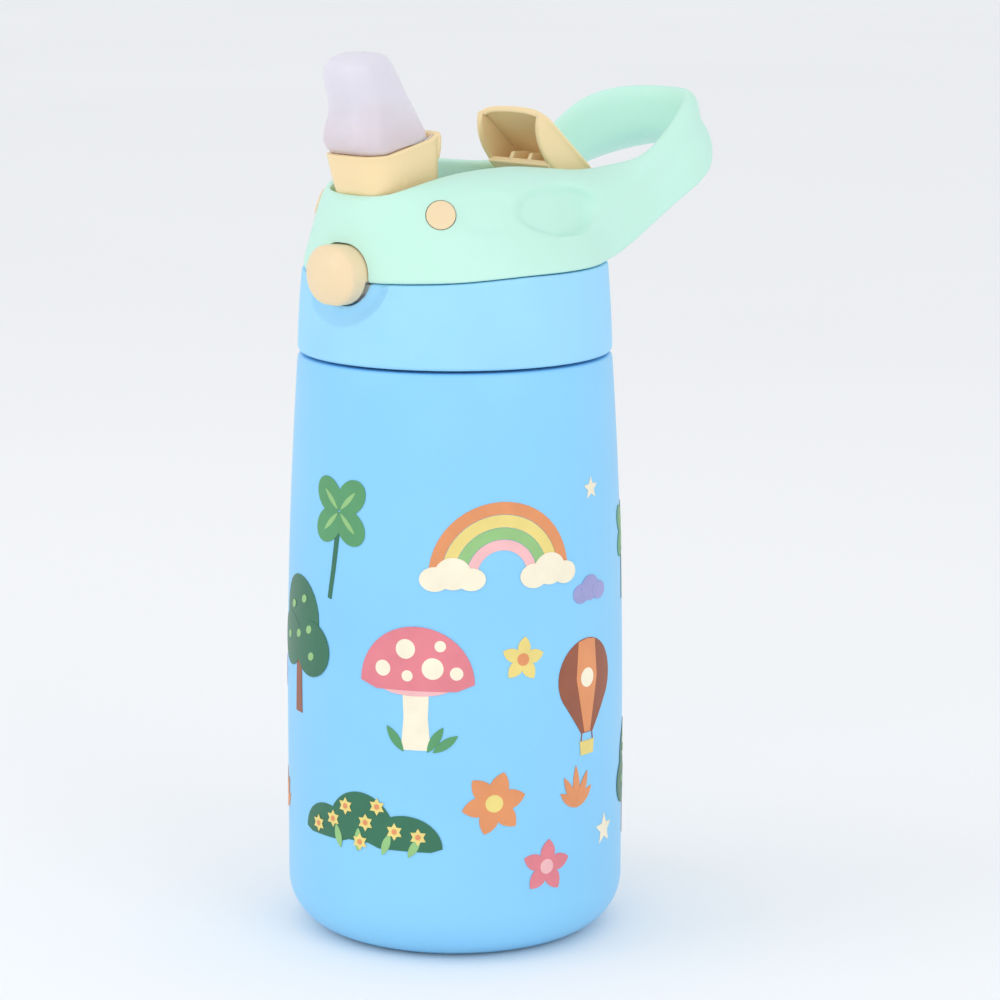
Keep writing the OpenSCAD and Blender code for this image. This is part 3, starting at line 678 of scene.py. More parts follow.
# %% Wrap the motifs
# Each motif's angle round the body, its height and its size.
LAYOUT = [(clover(), 4, 91, 1.25), (rainbow(), 63, 90, 1.0), (toadstool(), 34, 60, 1.0),
          (tree(), -19, 67, 1.05), (bush(), 15, 27, 1.0), (daisy("yellow", "orange", 5, 0.7), 70, 66, 1.0),
          (balloon(), 97, 56, 0.95),
          (cloud("lilac"), 99, 78, 0.8), (daisy(), 60, 35.5, 1.0), (tuft(), 92, 36, 1.0),
          (daisy("pink", "soft pink", 5, 0.85), 79, 20.5, 1.0), (small_star("cream"), 108, 25, 1.0),
          (small_star("cream"), 101, 100, 0.7), (tree(), 136, 34, 0.9), (clover(), 132, 84, 1.0),
          (toadstool(), 168, 60, 1.0), (cloud(), 160, 96, 1.0), (bush(), 200, 26, 1.0),
          (rainbow(), 214, 92, 1.0), (daisy("pink", "yellow", 6, 0.8), 196, 62, 1.0),
          (small_star("yellow"), 172, 34, 1.0), (balloon(), 244, 58, 0.95),
          (tuft("dark green"), 238, 26, 1.2), (cloud("lilac"), 262, 88, 0.8),
          (daisy("orange", "cream", 5, 0.9), 280, 66, 1.0), (toadstool(), 292, 32, 0.9),
          (clover(), 304, 88, 1.1), (small_star(), 318, 56, 1.0), (tuft(), 322, 30, 1.0)]
PRINT_T, FIRST_LIFT, LAYER_LIFT = 0.07, 0.03, 0.035


def slice_flat(bm, step_x=1.8, step_y=5.0):
    """Cuts a flat shape into a grid of strips."""
    for axis, step in ((0, step_x), (1, step_y)):
        reach = max(abs(v.co[axis]) for v in bm.verts)
        normal = (1, 0, 0) if axis == 0 else (0, 1, 0)
        for i in range(-int(reach / step), int(reach / step) + 1):
            place = [0.0, 0.0, 0.0]
            place[axis] = i * step
            everything = bm.verts[:] + bm.edges[:] + bm.faces[:]
            bmesh.ops.bisect_plane(bm, geom=everything, plane_co=place, plane_no=normal)


def print_shape(target, outline, azimuth, height, shade, layer):
    bm = bmesh.new()
    bm.faces.new([bm.verts.new((x, y, 0)) for x, y in outline])
    bmesh.ops.triangulate(bm, faces=bm.faces[:])
    slice_flat(bm)
    bmesh.ops.remove_doubles(bm, verts=bm.verts, dist=0.01)
    lift = FIRST_LIFT + LAYER_LIFT * layer
    for v in bm.verts:
        z = height + v.co.y
        r = body_radius(z) + lift
        turn = radians(azimuth) + v.co.x / body_radius(height)
        v.co = (r * sin(turn), -r * cos(turn), z)
    bmesh.ops.recalc_face_normals(bm, faces=bm.faces[:])
    first = bm.faces[:][0]
    middle = first.calc_center_median()
    if first.normal.x * middle.x + first.normal.y * middle.y < 0:
        bmesh.ops.reverse_faces(bm, faces=bm.faces[:])
    bmesh.ops.solidify(bm, geom=bm.faces[:], thickness=-PRINT_T)
    for face in bm.faces:
        face.material_index = INK_NAMES.index(shade)
    mesh = bpy.data.meshes.new("print")
    bm.to_mesh(mesh)
    bm.free()
    target.from_mesh(mesh)
    bpy.data.meshes.remove(mesh)


def printed_motifs():
    bm = bmesh.new()
    for motif, azimuth, height, size in LAYOUT:
        for shade, layer, outline in motif:
            print_shape(bm, [(x * size, y * size) for x, y in outline], azimuth, height, shade, layer)
    bmesh.ops.recalc_face_normals(bm, faces=bm.faces[:])
    return free_into_object(bm, "printed_motifs")


finish_piece(printed_motifs(), "bottle", INK_MATERIALS)

# %% [markdown]
# ## Light blue collar
# The collar is the lid's lower half. Under the button it has a shallow dish for the thumb, with a
# crisp lower edge. A boolean would leave a hard seam, so the collar is spun with a dense front and the
# dish is pressed in by moving vertices: the depth rises fast inside its rim, then flattens out.

# %% Collar
DISH_HALF_W = 12.6
DISH_HALF_H = 10.9
DISH_DEPTH = 1.8
COLLAR_WALL = 3.2
EDGE_R = 0.9
COLLAR_DRAW = 1.0
COLLAR_TOP_T = 1.85
COLLAR_HOLE_R = 27.9
RECESS_GAP = 0.32
RECESS_FRONT = -COLLAR_R - 6


def seam_drop(y):
    """How far the seam between collar and shell dips at the front."""
    return 1.6 * smooth((-5 - y) / 28)


def collar_profile():
    outside = [(COLLAR_R - COLLAR_WALL, COLLAR_LOW.z)]
    outside += arc((COLLAR_R - EDGE_R, COLLAR_LOW.z + EDGE_R), EDGE_R, -90, 0, 6)
    outside += [(COLLAR_R - COLLAR_DRAW * t ** 1.4, between(COLLAR_LOW.z + EDGE_R, SEAM_Z - 0.4, t))
                for t in (i / 40 for i in range(1, 41))]
    top_r = COLLAR_R - COLLAR_DRAW
    outside += [(top_r - 0.12, SEAM_Z - 0.15), (top_r - 0.4, SEAM_Z)]
    under = SEAM_Z - COLLAR_TOP_T
    return outside + [(COLLAR_HOLE_R, SEAM_Z), (COLLAR_HOLE_R, under), (COLLAR_R - COLLAR_WALL, under)]


def press_dish(piece):
    """The thumb's dish and the dip of the seam, both made by moving vertices."""
    for v in piece.data.vertices:
        v.co.z -= seam_drop(v.co.y) * smooth((v.co.z - SEAM_Z + 9) / 9)
        out = hypot(v.co.x, v.co.y)
        if v.co.y > 0 or out < COLLAR_R - 2.2:
            continue
        reach = hypot(v.co.x / DISH_HALF_W, (v.co.z - BUTTON_Z) / DISH_HALF_H)
        rise = min(1.0, max(0.0, 1.0 - reach) / 0.25) ** 0.7
        v.co.y += DISH_DEPTH * rise * (1 - 0.5 * smooth((0.85 - reach) / 0.2))


def button_recess(rear):
    """The button's outline as a prism with a little room all round, to be cut from what it moves in."""
    half_w, half_h = BUTTON_HALF_W + RECESS_GAP, BUTTON_HALF_H + RECESS_GAP
    outline = rounded_rect(half_w, half_h, half_h, 12)
    return skinned("recess", [[(x, y, BUTTON_Z + z) for x, z in outline] for y in (RECESS_FRONT, rear)])


def collar():
    profile = collar_profile()
    profile.append(profile[0])
    front = radians(56)
    bm = bmesh.new()
    spin_profile(bm, profile, steps=110, angle=front, start=-pi / 2 - front / 2)
    spin_profile(bm, profile, steps=120, angle=2 * pi - front, start=-pi / 2 + front / 2)
    piece = mesh_object(bm, "collar_ring", merge=0.01)
    press_dish(piece)
    cut(piece, button_recess(-27))
    return join(piece, thread("collar_thread", COLLAR_R - COLLAR_WALL, -1, SHOULDER_Z + 5.2))


finish_piece(collar(), "lid", COLLAR_BLUE, ["collar"])

# %% [markdown]
# ## Mint lid shell: the cage
# The lid shell is one soft moulding: a front wall, two rails beside the channel, a bridge behind the
# hood and the rising carry loop. Such a shape is a job for a subdivision surface. A section is set at
# each of nearly thirty stations along half of it, the sections are skinned into a cage, the cage is
# mirrored, and subdivision rounds it.

# %% Lid shell stations
CHANNEL = 11.5
LOOP_Y = 47.5
LOOP_R = 19.5
LOOP_T = 4.4
SLOT_FRONT = -28.3
SLOT_REAR = HOOD_PIVOT.y + 3.7
HOLE_FRONT = SLOT_REAR + 4
RISE_Y = 22.7
BULGE = 2.9
BULGE_FRONT = 36
WALL_PLAN = [(0.0, 32.7, 32.8), (2.4, 31.6, 32.6), (6.7, 29.4, 32.2), (12.6, 26.3, 31.4), (16.0, 24.6, 30.9),
             (21.0, 22.0, 30.0)]
RAIL_TOP = [(-31, 161.6), (-26, 163.0), (-20, 164.6), (-14, 165.6), (-8, 166.2), (3, 166.6), (15, 165.3),
            (24, 164.3), (29, 164.8), (35, 165.7), (41, 167.6), (45, 170.1), (48, 172.5), (53, 175.7),
            (57, 177.6), (61, 178.9), (65, 179.7), (69, 179.8)]
UNDERSIDE = [(RISE_Y, 145.4), (28.8, 146.4), (35.4, 149.5), (42, 152.9), (48.7, 157.0), (55.8, 160.9),
             (61.8, 163.8), (66.8, 166.4), (69, 167.2)]


def wall_half_sizes(z):
    """Half width and half length of the shell's plan at a height."""
    up = z - SEAM_Z
    return (follow([(h, a) for h, a, b in WALL_PLAN], up), follow([(h, b) for h, a, b in WALL_PLAN], up))


def loop_half_width(y):
    return between(24.0, LOOP_R, min(1.0, max(0.0, (y - 12) / (LOOP_Y - 12))))


def low_bulge(y, z):
    """The loop's outer wall swells from five millimetres under its top, as a grip for the fingers."""
    below = follow(RAIL_TOP, y) - z
    return BULGE * smooth((y - BULGE_FRONT) / 24) * smooth((below - 5) / 5.5)


def outer_wall(station, z):
    """Plan point of the outer wall at one station and height."""
    kind, place = station
    half_w, half_l = wall_half_sizes(z)
    if kind == "front":
        return Vector((half_w * sin(place), -half_l * cos(place)))
    if kind == "side":
        across = half_w * sqrt(max(0.0, 1 - (place / half_l) ** 2))
        if place > 8:
            across = max(across, between(across, loop_half_width(place), smooth((place - 8) / 8)))
        return Vector((across + low_bulge(place, z), place))
    radius = LOOP_R + low_bulge(LOOP_Y + LOOP_R * sin(place), z)
    return Vector((0, LOOP_Y)) + radius * Vector((cos(place), sin(place)))


def inner_wall(station):
    kind, place = station
    if kind == "front":
        return Vector((min(CHANNEL - 1.6, 26 * sin(place)), SLOT_FRONT + 3.2 * smooth((place - 0.2) / 0.5)))
    if kind == "side":
        hole = loop_half_width(place) - LOOP_T
        return Vector((CHANNEL if place < SLOT_REAR + 1 else hole, place))
    return Vector((0, LOOP_Y)) + (LOOP_R - LOOP_T) * Vector((cos(place), sin(place)))


STATIONS = [("front", a) for a in (0.0, 0.18, 0.36, 0.54)]
STATIONS += [("side", y) for y in (-22.5, -19, -14, -8, -2, 4, 10, 16, 22, 28, SLOT_REAR, HOLE_FRONT, 43)]
STATIONS += [("loop", radians(a)) for a in range(0, 91, 10)]
print("stations along half of the lid shell:", len(STATIONS))


# %% [markdown]
# The section of a rail is a closed outline: up the outer wall, over a crown and down the wall of the
# channel. The crown is given as a share of the rail's width and a drop below its top; along the loop it
# changes from a flat-topped rail to a band that is rounder inside than outside.

# %% Lid shell section
RAIL_CROWN = [(1, 5.0), (0.97, 3.2), (0.86, 1.7), (0.66, 0.7), (0.42, 0.15), (0.2, 0.0), (0.05, 0.35),
              (0.0, 1.4)]
LOOP_CROWN = [(1, 6.2), (0.985, 4.4), (0.93, 2.8), (0.83, 1.5), (0.66, 0.45), (0.42, 0.0), (0.15, 0.8),
              (0.0, 2.8)]


def rail_section(station):
    kind, place = station
    y = {"front": outer_wall(station, 158)[1], "side": place, "loop": LOOP_Y + LOOP_R * sin(place)}[kind]
    top = follow(RAIL_TOP, y)
    outer_low = inner_low = SEAM_Z + 0.08 - seam_drop(y)
    if y > RISE_Y:
        outer_low = follow(UNDERSIDE, y)
        inner_low = outer_low + 2.0 * smooth((y - HOLE_FRONT) / 8)
    inner = inner_wall(station)
    loopness = smooth((y - 16) / 24)

    def at(z, share=1.0, into=0.0):
        """A point at a share of the way from the inner wall to the outer one, and a length inwards."""
        plan = inner + (outer_wall(station, z) - inner) * share
        plan -= (plan - inner).normalized() * into
        return Vector((plan.x, plan.y, z))

    crown = []
    for (rail_share, rail_drop), (loop_share, loop_drop) in zip(RAIL_CROWN, LOOP_CROWN):
        share = between(rail_share, loop_share, loopness)
        crown.append(at(top - between(rail_drop, loop_drop, loopness), share))
    foot = outer_low + 1.5
    walls = [at(between(foot, top - 5.0, t)) for t in (0.0, 0.35, 0.7)]
    floor = [at(inner_low, 0.0), at(outer_low, 1.0, 1.1), at(outer_low + 0.3, 1.0, 0.2)]
    return floor + walls + crown + [at(between(inner_low, top, 0.45), 0.0)]


def lid_shell_cage():
    bm = bmesh.new()
    rings = skin(bm, [rail_section(s) for s in STATIONS], cap_first=False, cap_last=False)
    bridge_behind_hood(bm, rings)
    bm.normal_update()
    bmesh.ops.mirror(bm, geom=bm.verts[:] + bm.edges[:] + bm.faces[:], axis="X", merge_dist=0.02)
    return mesh_object(bm, "lid_shell_soft", merge=0.02)


def bridge_behind_hood(bm, rings):
    """The wall between the channel and the loop: inner faces pulled out to the middle plane."""
    here = STATIONS.index(("side", SLOT_REAR))
    corners = set(ring_verts(rings[here])) | set(ring_verts(rings[here + 1]))
    limit = follow(RAIL_TOP, SLOT_REAR) - 1.6
    faces = [f for f in bm.faces if all(v in corners for v in f.verts)
             and all(v.co.z < limit and v.co.x < 18 for v in f.verts)]
    made = bmesh.ops.extrude_face_region(bm, geom=faces)["geom"]
    bmesh.ops.delete(bm, geom=faces, context="FACES_ONLY")
    for v in (g for g in made if isinstance(g, bmesh.types.BMVert)):
        v.co.x = 0.0
    bmesh.ops.delete(bm, geom=[g for g in made if isinstance(g, bmesh.types.BMFace)], context="FACES_ONLY")


cage = lid_shell_cage()
print("cage faces:", len(cage.data.polygons))

# %% [markdown]
# ## Mint lid shell: details one by one
# With the cage made smooth, the small features are pressed in: an oval grip on each side,
# a flat about the pin, and a thumb rest behind the loop. Each is a smooth hollow with a centre, a
# reach and a depth, pushed along the surface's normal. Holes for the pins and the button are cut last.

# %% Lid shell hollows
HOLLOWS = [((25.0, 6.6, 157.9), (11.0, 14.0, 5.8), 1.7, 0.25),
           ((24.0, -12.5, 158.3), (9.0, 8.5, 5.4), 0.45, 0.4),
           ((0.0, LOOP_Y + LOOP_R - 0.5, 173.4), (15.0, 8.0, 3.0), 0.8, 0.5)]
HEAD_R, SEAT_R = 3.05, 3.2
HEAD_DEPTH, HEAD_STANDS, SEAT_DEPTH = 2.3, 0.3, 2.4


def press_hollows(piece):
    """Moves the vertices within each oval inwards; a small rim share makes its edge crisp."""
    normals = [v.normal.copy() for v in piece.data.vertices]
    for v, normal in zip(piece.data.vertices, normals):
        for centre, reach, depth, rim in HOLLOWS:
            away = [(abs(v.co[i]) - centre[i] if i == 0 and centre[0] else v.co[i] - centre[i]) / reach[i]
                    for i in range(3)]
            t = 1 - sqrt(sum(a * a for a in away))
            facing = normal.x * (1 if v.co.x > 0 else -1) if centre[0] else normal.y
            if t > 0 and facing > 0.2:
                v.co -= normal * depth * smooth(t / rim)


subdivide(cage, 3)
press_hollows(cage)


def wall_place():
    """Where the pin's axis leaves the wall, and which way the wall faces there."""
    shell = cage.data
    wall = BVHTree.FromPolygons([v.co[:] for v in shell.vertices], [f.vertices[:] for f in shell.polygons])
    place, normal = wall.ray_cast(Vector((40, PIVOT.y, PIVOT.z)), Vector((-1, 0, 0)))[:2]
    return place, normal if normal.x > 0 else -normal


def from_wall(out, side):
    """A point on the wall's normal at one of the two pins."""
    point = WALL_PLACE + out * WALL_NORMAL
    return Vector((side * point.x, point.y, point.z))


WALL_PLACE, WALL_NORMAL = wall_place()
print(f"the wall at the pins is {WALL_PLACE.x:.2f} mm from the middle")
for side in (-1, 1):
    cut(cage, rod("seat", SEAT_R, from_wall(-SEAT_DEPTH, side), from_wall(6, side), 64))
cut(cage, button_recess(SLOT_FRONT + 1))
cage.name = "lid_shell_soft"
finish_piece(cage, "lid", MINT, ["lid_shell"])

# %% [markdown]
# ## Stub pins
# Two cream pins carry the spout. Only their round heads show. Each head faces the way the wall does
# there, which a ray sent at the wall has found, so that it lies flush in its seat.

# %% Stub pins
def on_axis(name, radius, x0, x1, steps=48, bevel=0.3):
    """A rod about the spout's hinge axis."""
    return rod(name, radius, (x0, PIVOT.y, PIVOT.z), (x1, PIVOT.y, PIVOT.z), steps, bevel)


def stub_pins():
    pins = None
    for side in (-1, 1):
        head = rod("pin_head", HEAD_R, from_wall(-HEAD_DEPTH, side), from_wall(HEAD_STANDS, side), 64, 0.4)
        pins = join(pins, head) if pins else head
        pins = join(pins, on_axis("pin_shank", 1.99, side * 4.4, side * 15.6))
    pins.name = "stub_pins"
    return pins


finish_piece(stub_pins(), "lid", BUTTON_CREAM, ["pivot_pins"])

# %% [markdown]
# ## Push button
# The button is a stadium, a rectangle with round ends. Its front is built as a stack of shrinking
# outlines, which gives a rounded shoulder and a face that is very slightly domed. Its skirt is cut away
# below, where the round core stands behind it.

# %% Push button
FACE_OUT, DOME = 0.8, 2.1
SKIRT_REAR = -30.3
CORE_ROOM_R, CORE_ROOM_TOP = 32.8, 144.4


def push_button():
    face_y = BUTTON_LOW.y - FACE_OUT
    steps = [(0.1, SKIRT_REAR), (0.0, BUTTON_LOW.y + 2.4), (0.0, face_y + DOME + 0.5),
             (0.08, face_y + DOME + 0.2)]
    steps += [(inset, face_y + DOME * (1 - inset / BUTTON_HALF_H) ** 2.2)
              for inset in (0.3, 0.7, 1.2, 1.8, 2.5, 3.3, 4.2, 5.2)]
    outlines = []
    for inset, y in steps:
        half_w, half_h = BUTTON_HALF_W - inset, BUTTON_HALF_H - inset
        outlines.append([(x, y, BUTTON_Z + z) for x, z in rounded_rect(half_w, half_h, half_h, 12)])
    piece = skinned("push_button", outlines)
    cut(piece, rod("room_for_core", CORE_ROOM_R, (0, 0, 130), (0, 0, CORE_ROOM_TOP), 96))
    return piece


finish_piece(push_button(), "button", BUTTON_CREAM, ["button_cap"])

# %% [markdown]
# ## Button springs
# Two small coils push the button out. Each is a ring of points carried along a helix and skinned.

# %% Button springs
SPRING_FRONT, SPRING_REAR, SPRING_Z = -13.13, -6.6, 145.4


def spring_coil(bm, x, turns=5, radius=0.8, wire=0.25, per_turn=14):
    rings = []
    for i in range(turns * per_turn + 1):
        turn = 2 * pi * i / per_turn
        outward = Vector((cos(turn), 0, sin(turn)))
        y = between(SPRING_FRONT, SPRING_REAR - 0.27, i / (turns * per_turn))
        centre = Vector((x, y, SPRING_Z)) + radius * outward
        rings.append([centre + wire * (cos(b) * outward + Vector((0, sin(b), 0)))
                      for b in (2 * pi * k / 8 for k in range(8))])
    skin(bm, rings)


def button_springs():
    bm = bmesh.new()
    for x in (-10.1, 10.1):
        spring_coil(bm, x)
    return mesh_object(bm, "button_coils")


coils = finish_piece(button_springs(), "lid", STEEL, ["button_springs"])
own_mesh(coils)

# %% [markdown]
# ## Spout holder
# The holder is a flared cup that stands on a round hub. Its rim climbs from the front to a tab at the
# rear. The outlines are level at the foot and follow the rim at the top, so each ring is a blend of a
# level outline and the rim's own height.

# %% Spout holder
HOLDER_HALF_W = 8.6
HOLDER_CORNER = 4.4
HOLDER_WALL = 1.7
HOLDER_REAR = -10.4
RIM = [(-31.4, 169.8), (-26.0, 170.1), (-21.5, 170.9), (-17.0, 172.1), (-14.4, 173.0), (-13.0, 173.6),
       (-10.0, 173.7)]


def holder_outline(t, inset):
    """The holder's outline: t is 0 at its foot and 1 at its rim."""
    front = between(-27.6, -31.1, t ** 0.8) + inset
    rear = HOLDER_REAR - inset
    middle = (rear + front) / 2
    corner = max(1.0, HOLDER_CORNER - inset * 0.5)
    outline = rounded_rect(HOLDER_HALF_W - inset, (rear - front) / 2, corner)
    return [(x, y + middle, between(PIVOT.z + 1.4, follow(RIM, y + middle), t)) for x, y in outline]


def rear_tab():
    """The thick rounded tab behind the silicone, which a thumb pushes to open the spout."""
    steps = [(168.5, 0.4), (170.5, 0.05), (172.8, 0.0), (173.5, 0.15), (173.95, 0.45), (174.15, 0.9),
             (174.2, 1.2)]
    outlines = []
    for z, inset in steps:
        outlines.append([(x, y - 11.9, z) for x, y in rounded_rect(7.7 - inset, 1.6 - inset, 1.4 - inset)])
    return skinned("rear_tab", outlines)


def spout_holder():
    wall = HOLDER_WALL
    outside = [(0, 0.6), (0.04, 0), (0.2, 0), (0.4, 0), (0.6, 0), (0.8, 0), (0.93, 0), (0.96, -0.12),
               (0.98, -0.06), (0.995, 0.14), (1, 0.45)]
    inside = [(1, wall - 0.45), (0.98, wall - 0.05), (0.9, wall), (0.4, wall), (0.26, wall + 0.2),
              (0.24, wall + 1.5)]
    piece = skinned("spout_holder_cup", [holder_outline(t, inset) for t, inset in outside + inside])
    hub = on_axis("hub", 5.2, -8.45, 8.45, 64, 0.4)
    cut(hub, on_axis("boss", 3.6, -11.1, 11.1), "UNION")
    cut(piece, hub, "UNION")
    cut(piece, rear_tab(), "UNION")
    cut(piece, rod("throat", 3.9, (0, PIVOT.y - 1.1, PIVOT.z - 8), (0, PIVOT.y - 1.1, PIVOT.z + 6.5)))
    cut(piece, on_axis("bore", 2.06, -20, 20, bevel=0))
    return piece


finish_piece(spout_holder(), "spout", CREAM, ["spout_holder"])

# %% [markdown]
# ## Silicone spout
# The mouthpiece is a soft loft: wide where it sits on the holder's rim, drawn in at the waist so that
# lips can close on it, and rounded at the tip, with a drinking hole. Each level is a rounded outline
# with its own centre, because the tip leans forwards over the waist.

# %% Silicone spout
# Each level is its height above the hinge, the shift of its centre, two half sizes and a corner radius.
SPOUT_LEVELS = [(13.0, -0.9, 8.25, 9.5, 4.6), (14.7, -1.2, 8.3, 10.0, 5.0), (16.8, -1.5, 8.1, 9.6, 5.2),
                (18.9, -1.8, 7.7, 8.7, 5.1), (20.9, -2.2, 7.4, 8.0, 5.0), (22.7, -3.0, 7.2, 7.7, 5.0),
                (25.1, -4.1, 7.0, 7.4, 4.9), (27.5, -5.1, 6.8, 7.1, 4.8), (29.2, -5.5, 6.6, 6.6, 4.6),
                (30.4, -5.7, 6.3, 6.0, 4.4), (31.3, -5.6, 5.8, 5.3, 4.1), (32.0, -5.1, 5.1, 4.4, 3.6),
                (32.5, -4.9, 3.8, 3.1, 2.7), (32.6, -4.9, 2.6, 1.7, 1.5), (32.2, -4.85, 2.1, 1.1, 1.0),
                (29.5, -4.2, 1.9, 1.1, 1.0), (22.0, -2.0, 1.9, 1.6, 1.5)]
# Rings along the holder's rim: how far inside its outline, and how far above it.
SPOUT_SEAT = [(2.0, -6.0), (1.85, -0.6), (1.2, 0.06), (0.75, 0.12), (0.5, 0.5)]


def silicone_spout():
    outlines = [[(x, y, z + lift) for x, y, z in holder_outline(1.0, inset)] for inset, lift in SPOUT_SEAT]
    for up, shift, half_x, half_y, corner in SPOUT_LEVELS:
        outline = rounded_rect(half_x, half_y, corner)
        outlines.append([(x, PIVOT.y + shift + y, PIVOT.z + up) for x, y in outline])
    piece = skinned("silicone_spout", outlines)
    subdivide(piece, 2)
    return piece


finish_piece(silicone_spout(), "spout", LILAC, ["spout_nozzle"], sharp=60)

# %% [markdown]
# ## Soft tube
# Under the holder a soft tube joins the lid's duct to the spout and kinks shut as the spout folds.

# %% Soft tube
TUBE_R, TUBE_BORE_LOW, TUBE_BORE_HIGH = 2.8, 2.05, 1.5
TUBE_ROWS, TUBE_SIDES = 14, 24
TUBE_FOOT, TUBE_HEAD = Vector((0, -24.2, SEAM_Z - 1.6)), Vector((0, -21.9, PIVOT.z - 0.4))


def tube_circle(row, radius):
    t = row / TUBE_ROWS
    centre = Vector((0, between(TUBE_FOOT.y, TUBE_HEAD.y, smooth(t)), between(TUBE_FOOT.z, TUBE_HEAD.z, t)))
    turns = [2 * pi * k / TUBE_SIDES for k in range(TUBE_SIDES)]
    return [centre + Vector((radius * cos(a), radius * sin(a), 0)) for a in turns]


def soft_tube():
    bm = bmesh.new()
    outlines = [tube_circle(row, TUBE_R) for row in range(TUBE_ROWS + 1)]
    outlines += [tube_circle(row, TUBE_BORE_LOW if row < 5 else TUBE_BORE_HIGH)
                 for row in range(TUBE_ROWS, -1, -1)]
    rings = skin(bm, outlines, cap_first=False, cap_last=False)
    bmesh.ops.bridge_loops(bm, edges=rings[-1] + rings[0])
    piece = mesh_object(bm, "soft_tube")
    piece.data.transform(Matrix.Scale(MM, 4))
    piece.data.materials.append(CLEAR)
    piece.data.shade_smooth()
    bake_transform(piece)
    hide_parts("kink_tube")
    return piece


print("soft tube faces:", len(soft_tube().data.polygons))

# %% [markdown]
# ## Tip hood
# The hood is a thin cap that shuts over the spout's tip. It is drawn with its roof level, as a sheet
# of faces bent into an upside-down U, then given its wall by the solidify operator and turned up by its
# opening angle. The lower edge of its cheeks is a curve, so each row of the sheet has its own depth.

# %% Tip hood
HOOD_ANGLE = radians(41)
HOOD_L = 19.4
HOOD_HALF_W = 9.8
HOOD_WALL = 1.5
EAVE_X = 10.4
# Places along the hood, and how deep its cheek hangs there.
CHEEK = [(-19.4, 0.6), (-18.9, 2.2), (-17.8, 3.9), (-16.1, 5.4), (-14.2, 6.3), (-12.1, 6.9), (-9.0, 7.4),
         (-5.5, 7.6), (-2.6, 6.0), (0.8, 3.4)]
PLATE = [(-10.6, -3.6), (-10.4, -4.9), (-6, -4.9), (-1.4, -2.3), (0.5, 0.6), (-1.2, 1.4), (-6.2, -3.4)]
RIB = [(-10.4, -4.4), (-10.9, -2.2), (-7.4, 0.6), (-1, 2.2), (-1.6, -2.0), (-6.2, -4.4)]


def hood_line(y, depth):
    """Points across the hood at one place along it, from cheek to cheek."""
    low = 2.6 - max(depth, 0.8)
    crown = 0.9 * smooth((-y - 2) / 8)
    eave = EAVE_X - 1.6 * (1 - smooth((y + HOOD_L) / 2.4)) ** 2
    half = [(HOOD_HALF_W, between(low, 1.6, t)) for t in (0, 0.45, 0.85)]
    half += [(HOOD_HALF_W + 0.15, 1.7), (eave, 2.15), (eave - 0.25, 2.75), (eave - 1.6, 3.0 + crown * 0.3),
             (5.2, 3.0 + crown * 0.8), (0.0, 3.0 + crown)]
    return [(-x, z) for x, z in half] + [(x, z) for x, z in reversed(half[:-1])]


def hood_sheet():
    bm = bmesh.new()
    rows = [[bm.verts.new((x, y, z)) for x, z in hood_line(y, depth)] for y, depth in CHEEK]
    for a, b in zip(rows, rows[1:]):
        for i in range(len(a) - 1):
            bm.faces.new((a[i], a[i + 1], b[i + 1], b[i]))
    bmesh.ops.recalc_face_normals(bm, faces=bm.faces)
    if sum(f.normal.z for f in bm.faces) < 0:
        bmesh.ops.reverse_faces(bm, faces=bm.faces)
    bmesh.ops.solidify(bm, geom=bm.faces[:], thickness=HOOD_WALL)
    return mesh_object(bm, "tip_hood")


def hood_bar(name, x0, x1, outline):
    """A rib or plate of the hood, drawn in its side view."""
    bm = bmesh.new()
    skin(bm, [[(x, y, z) for y, z in outline] for x in (x0, x1)])
    bmesh.ops.bevel(bm, geom=bm.edges[:], offset=0.25, segments=2, profile=0.5, affect="EDGES", material=-1)
    return mesh_object(bm, name)


def tip_hood():
    piece = hood_sheet()
    subdivide(piece, 2)
    join(piece, hood_bar("plate", -9.3, 9.3, PLATE))
    for x in (-3.4, 2.2):
        join(piece, hood_bar("rib", x, x + 1.2, RIB))
    join(piece, rod("barrel", 2.65, (-9.6, 0, 0), (9.6, 0, 0), 48, 0.3))
    piece.data.transform(Matrix.Translation(HOOD_PIVOT) @ Matrix.Rotation(-HOOD_ANGLE, 4, "X"))
    return piece


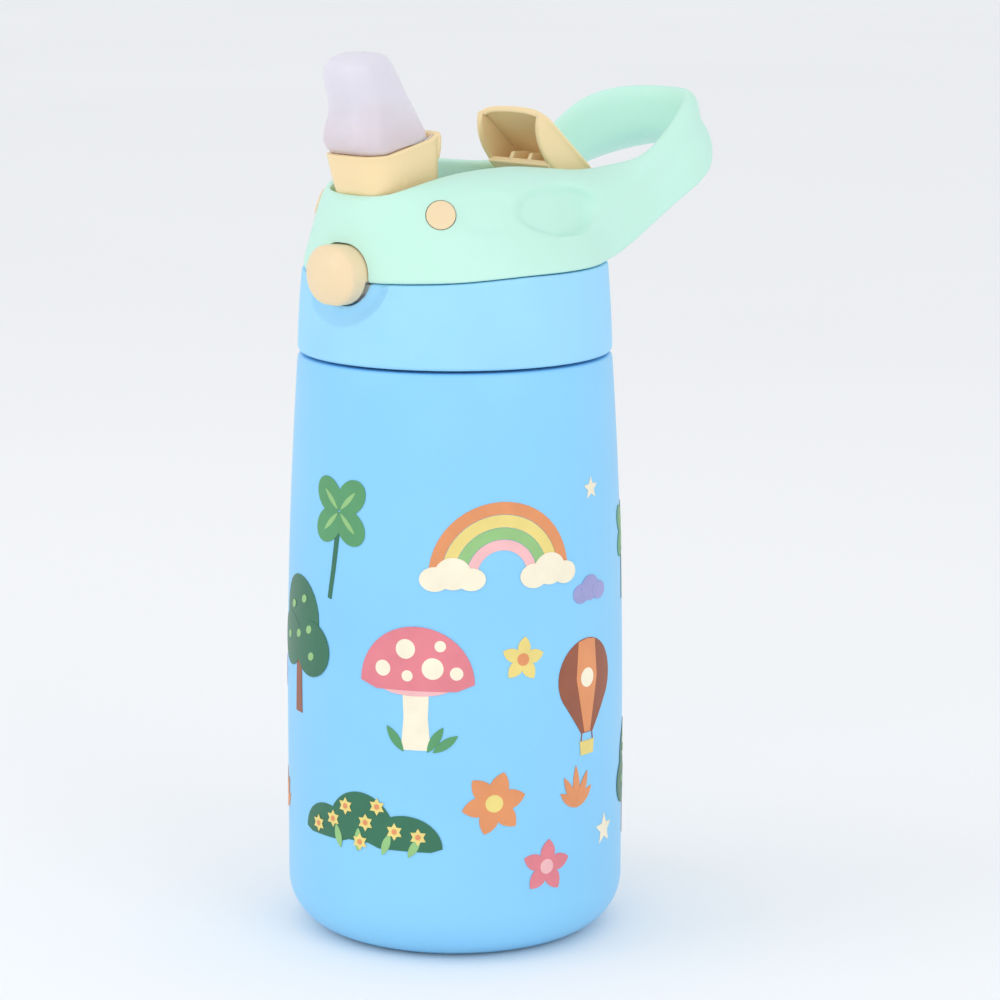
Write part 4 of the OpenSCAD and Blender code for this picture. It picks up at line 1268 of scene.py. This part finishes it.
finish_piece(tip_hood(), "hood", CREAM, ["hood"])

# %% [markdown]
# ## Stage and light
# A pale floor and a pale surround keep the plastic colours honest. Two large soft lamps at the sides
# model the round body, a third fills the front, and their size keeps every highlight soft.

# %% Stage and light
MIDDLE = Vector((0, 0, 0.1))


def soft_lamp(name, place, size, power):
    lamp = bpy.data.lights.new(name, "AREA")
    lamp.size = size
    lamp.energy = power
    holder = bpy.data.objects.new(name, lamp)
    bpy.context.scene.collection.objects.link(holder)
    holder.location = place
    holder.rotation_euler = (MIDDLE - Vector(place)).to_track_quat("-Z", "Y").to_euler()


def pale_floor():
    bm = bmesh.new()
    bmesh.ops.create_grid(bm, x_segments=2, y_segments=2, size=4.0)
    piece = mesh_object(bm, "floor")
    piece.data.materials.append(finish("pale floor", (250, 250, 250), (252, 252, 252), (252, 252, 252), 0.9,
                                       bump=0.02, wear=0.0, drift=2.0))


pale_floor()
world = bpy.data.worlds.new("pale surround")
bpy.context.scene.world = world
world.use_nodes = True
surround = world.node_tree.nodes["Background"]
surround.inputs["Color"].default_value = (0.95, 0.97, 1.0, 1)
surround.inputs["Strength"].default_value = 0.9
soft_lamp("left window", (-0.35, -0.75, 0.55), 0.6, 1.2)
soft_lamp("right window", (0.95, -0.1, 0.5), 0.6, 1.3)
soft_lamp("front fill", (0.5, -0.8, 0.35), 0.8, 0.8)
bpy.context.scene.view_settings.view_transform = "Standard"
print("stage set")

# %% [markdown]
# ## Pieces kept from the frame
# The inner pieces have the right shape already. Each gets the finish of what it is made of.

# %% Finishes for the kept pieces
KEPT = {"inner_flask": STEEL, "base_disc": BLUE_COAT, "getter_cap": STEEL, "mouth_gasket": CLEAR,
        "lid_core": WHITE, "vent_valve": CLEAR, "straw": WHITE, "spout_spring": STEEL, "hood_pin": STEEL,
        "hood_spring": STEEL, "latch_slide": WHITE}
for node, material in KEPT.items():
    mesh = frame["nodes"][node].data
    mesh.materials.clear()
    mesh.materials.append(material)
print("kept from the frame:", ", ".join(KEPT))
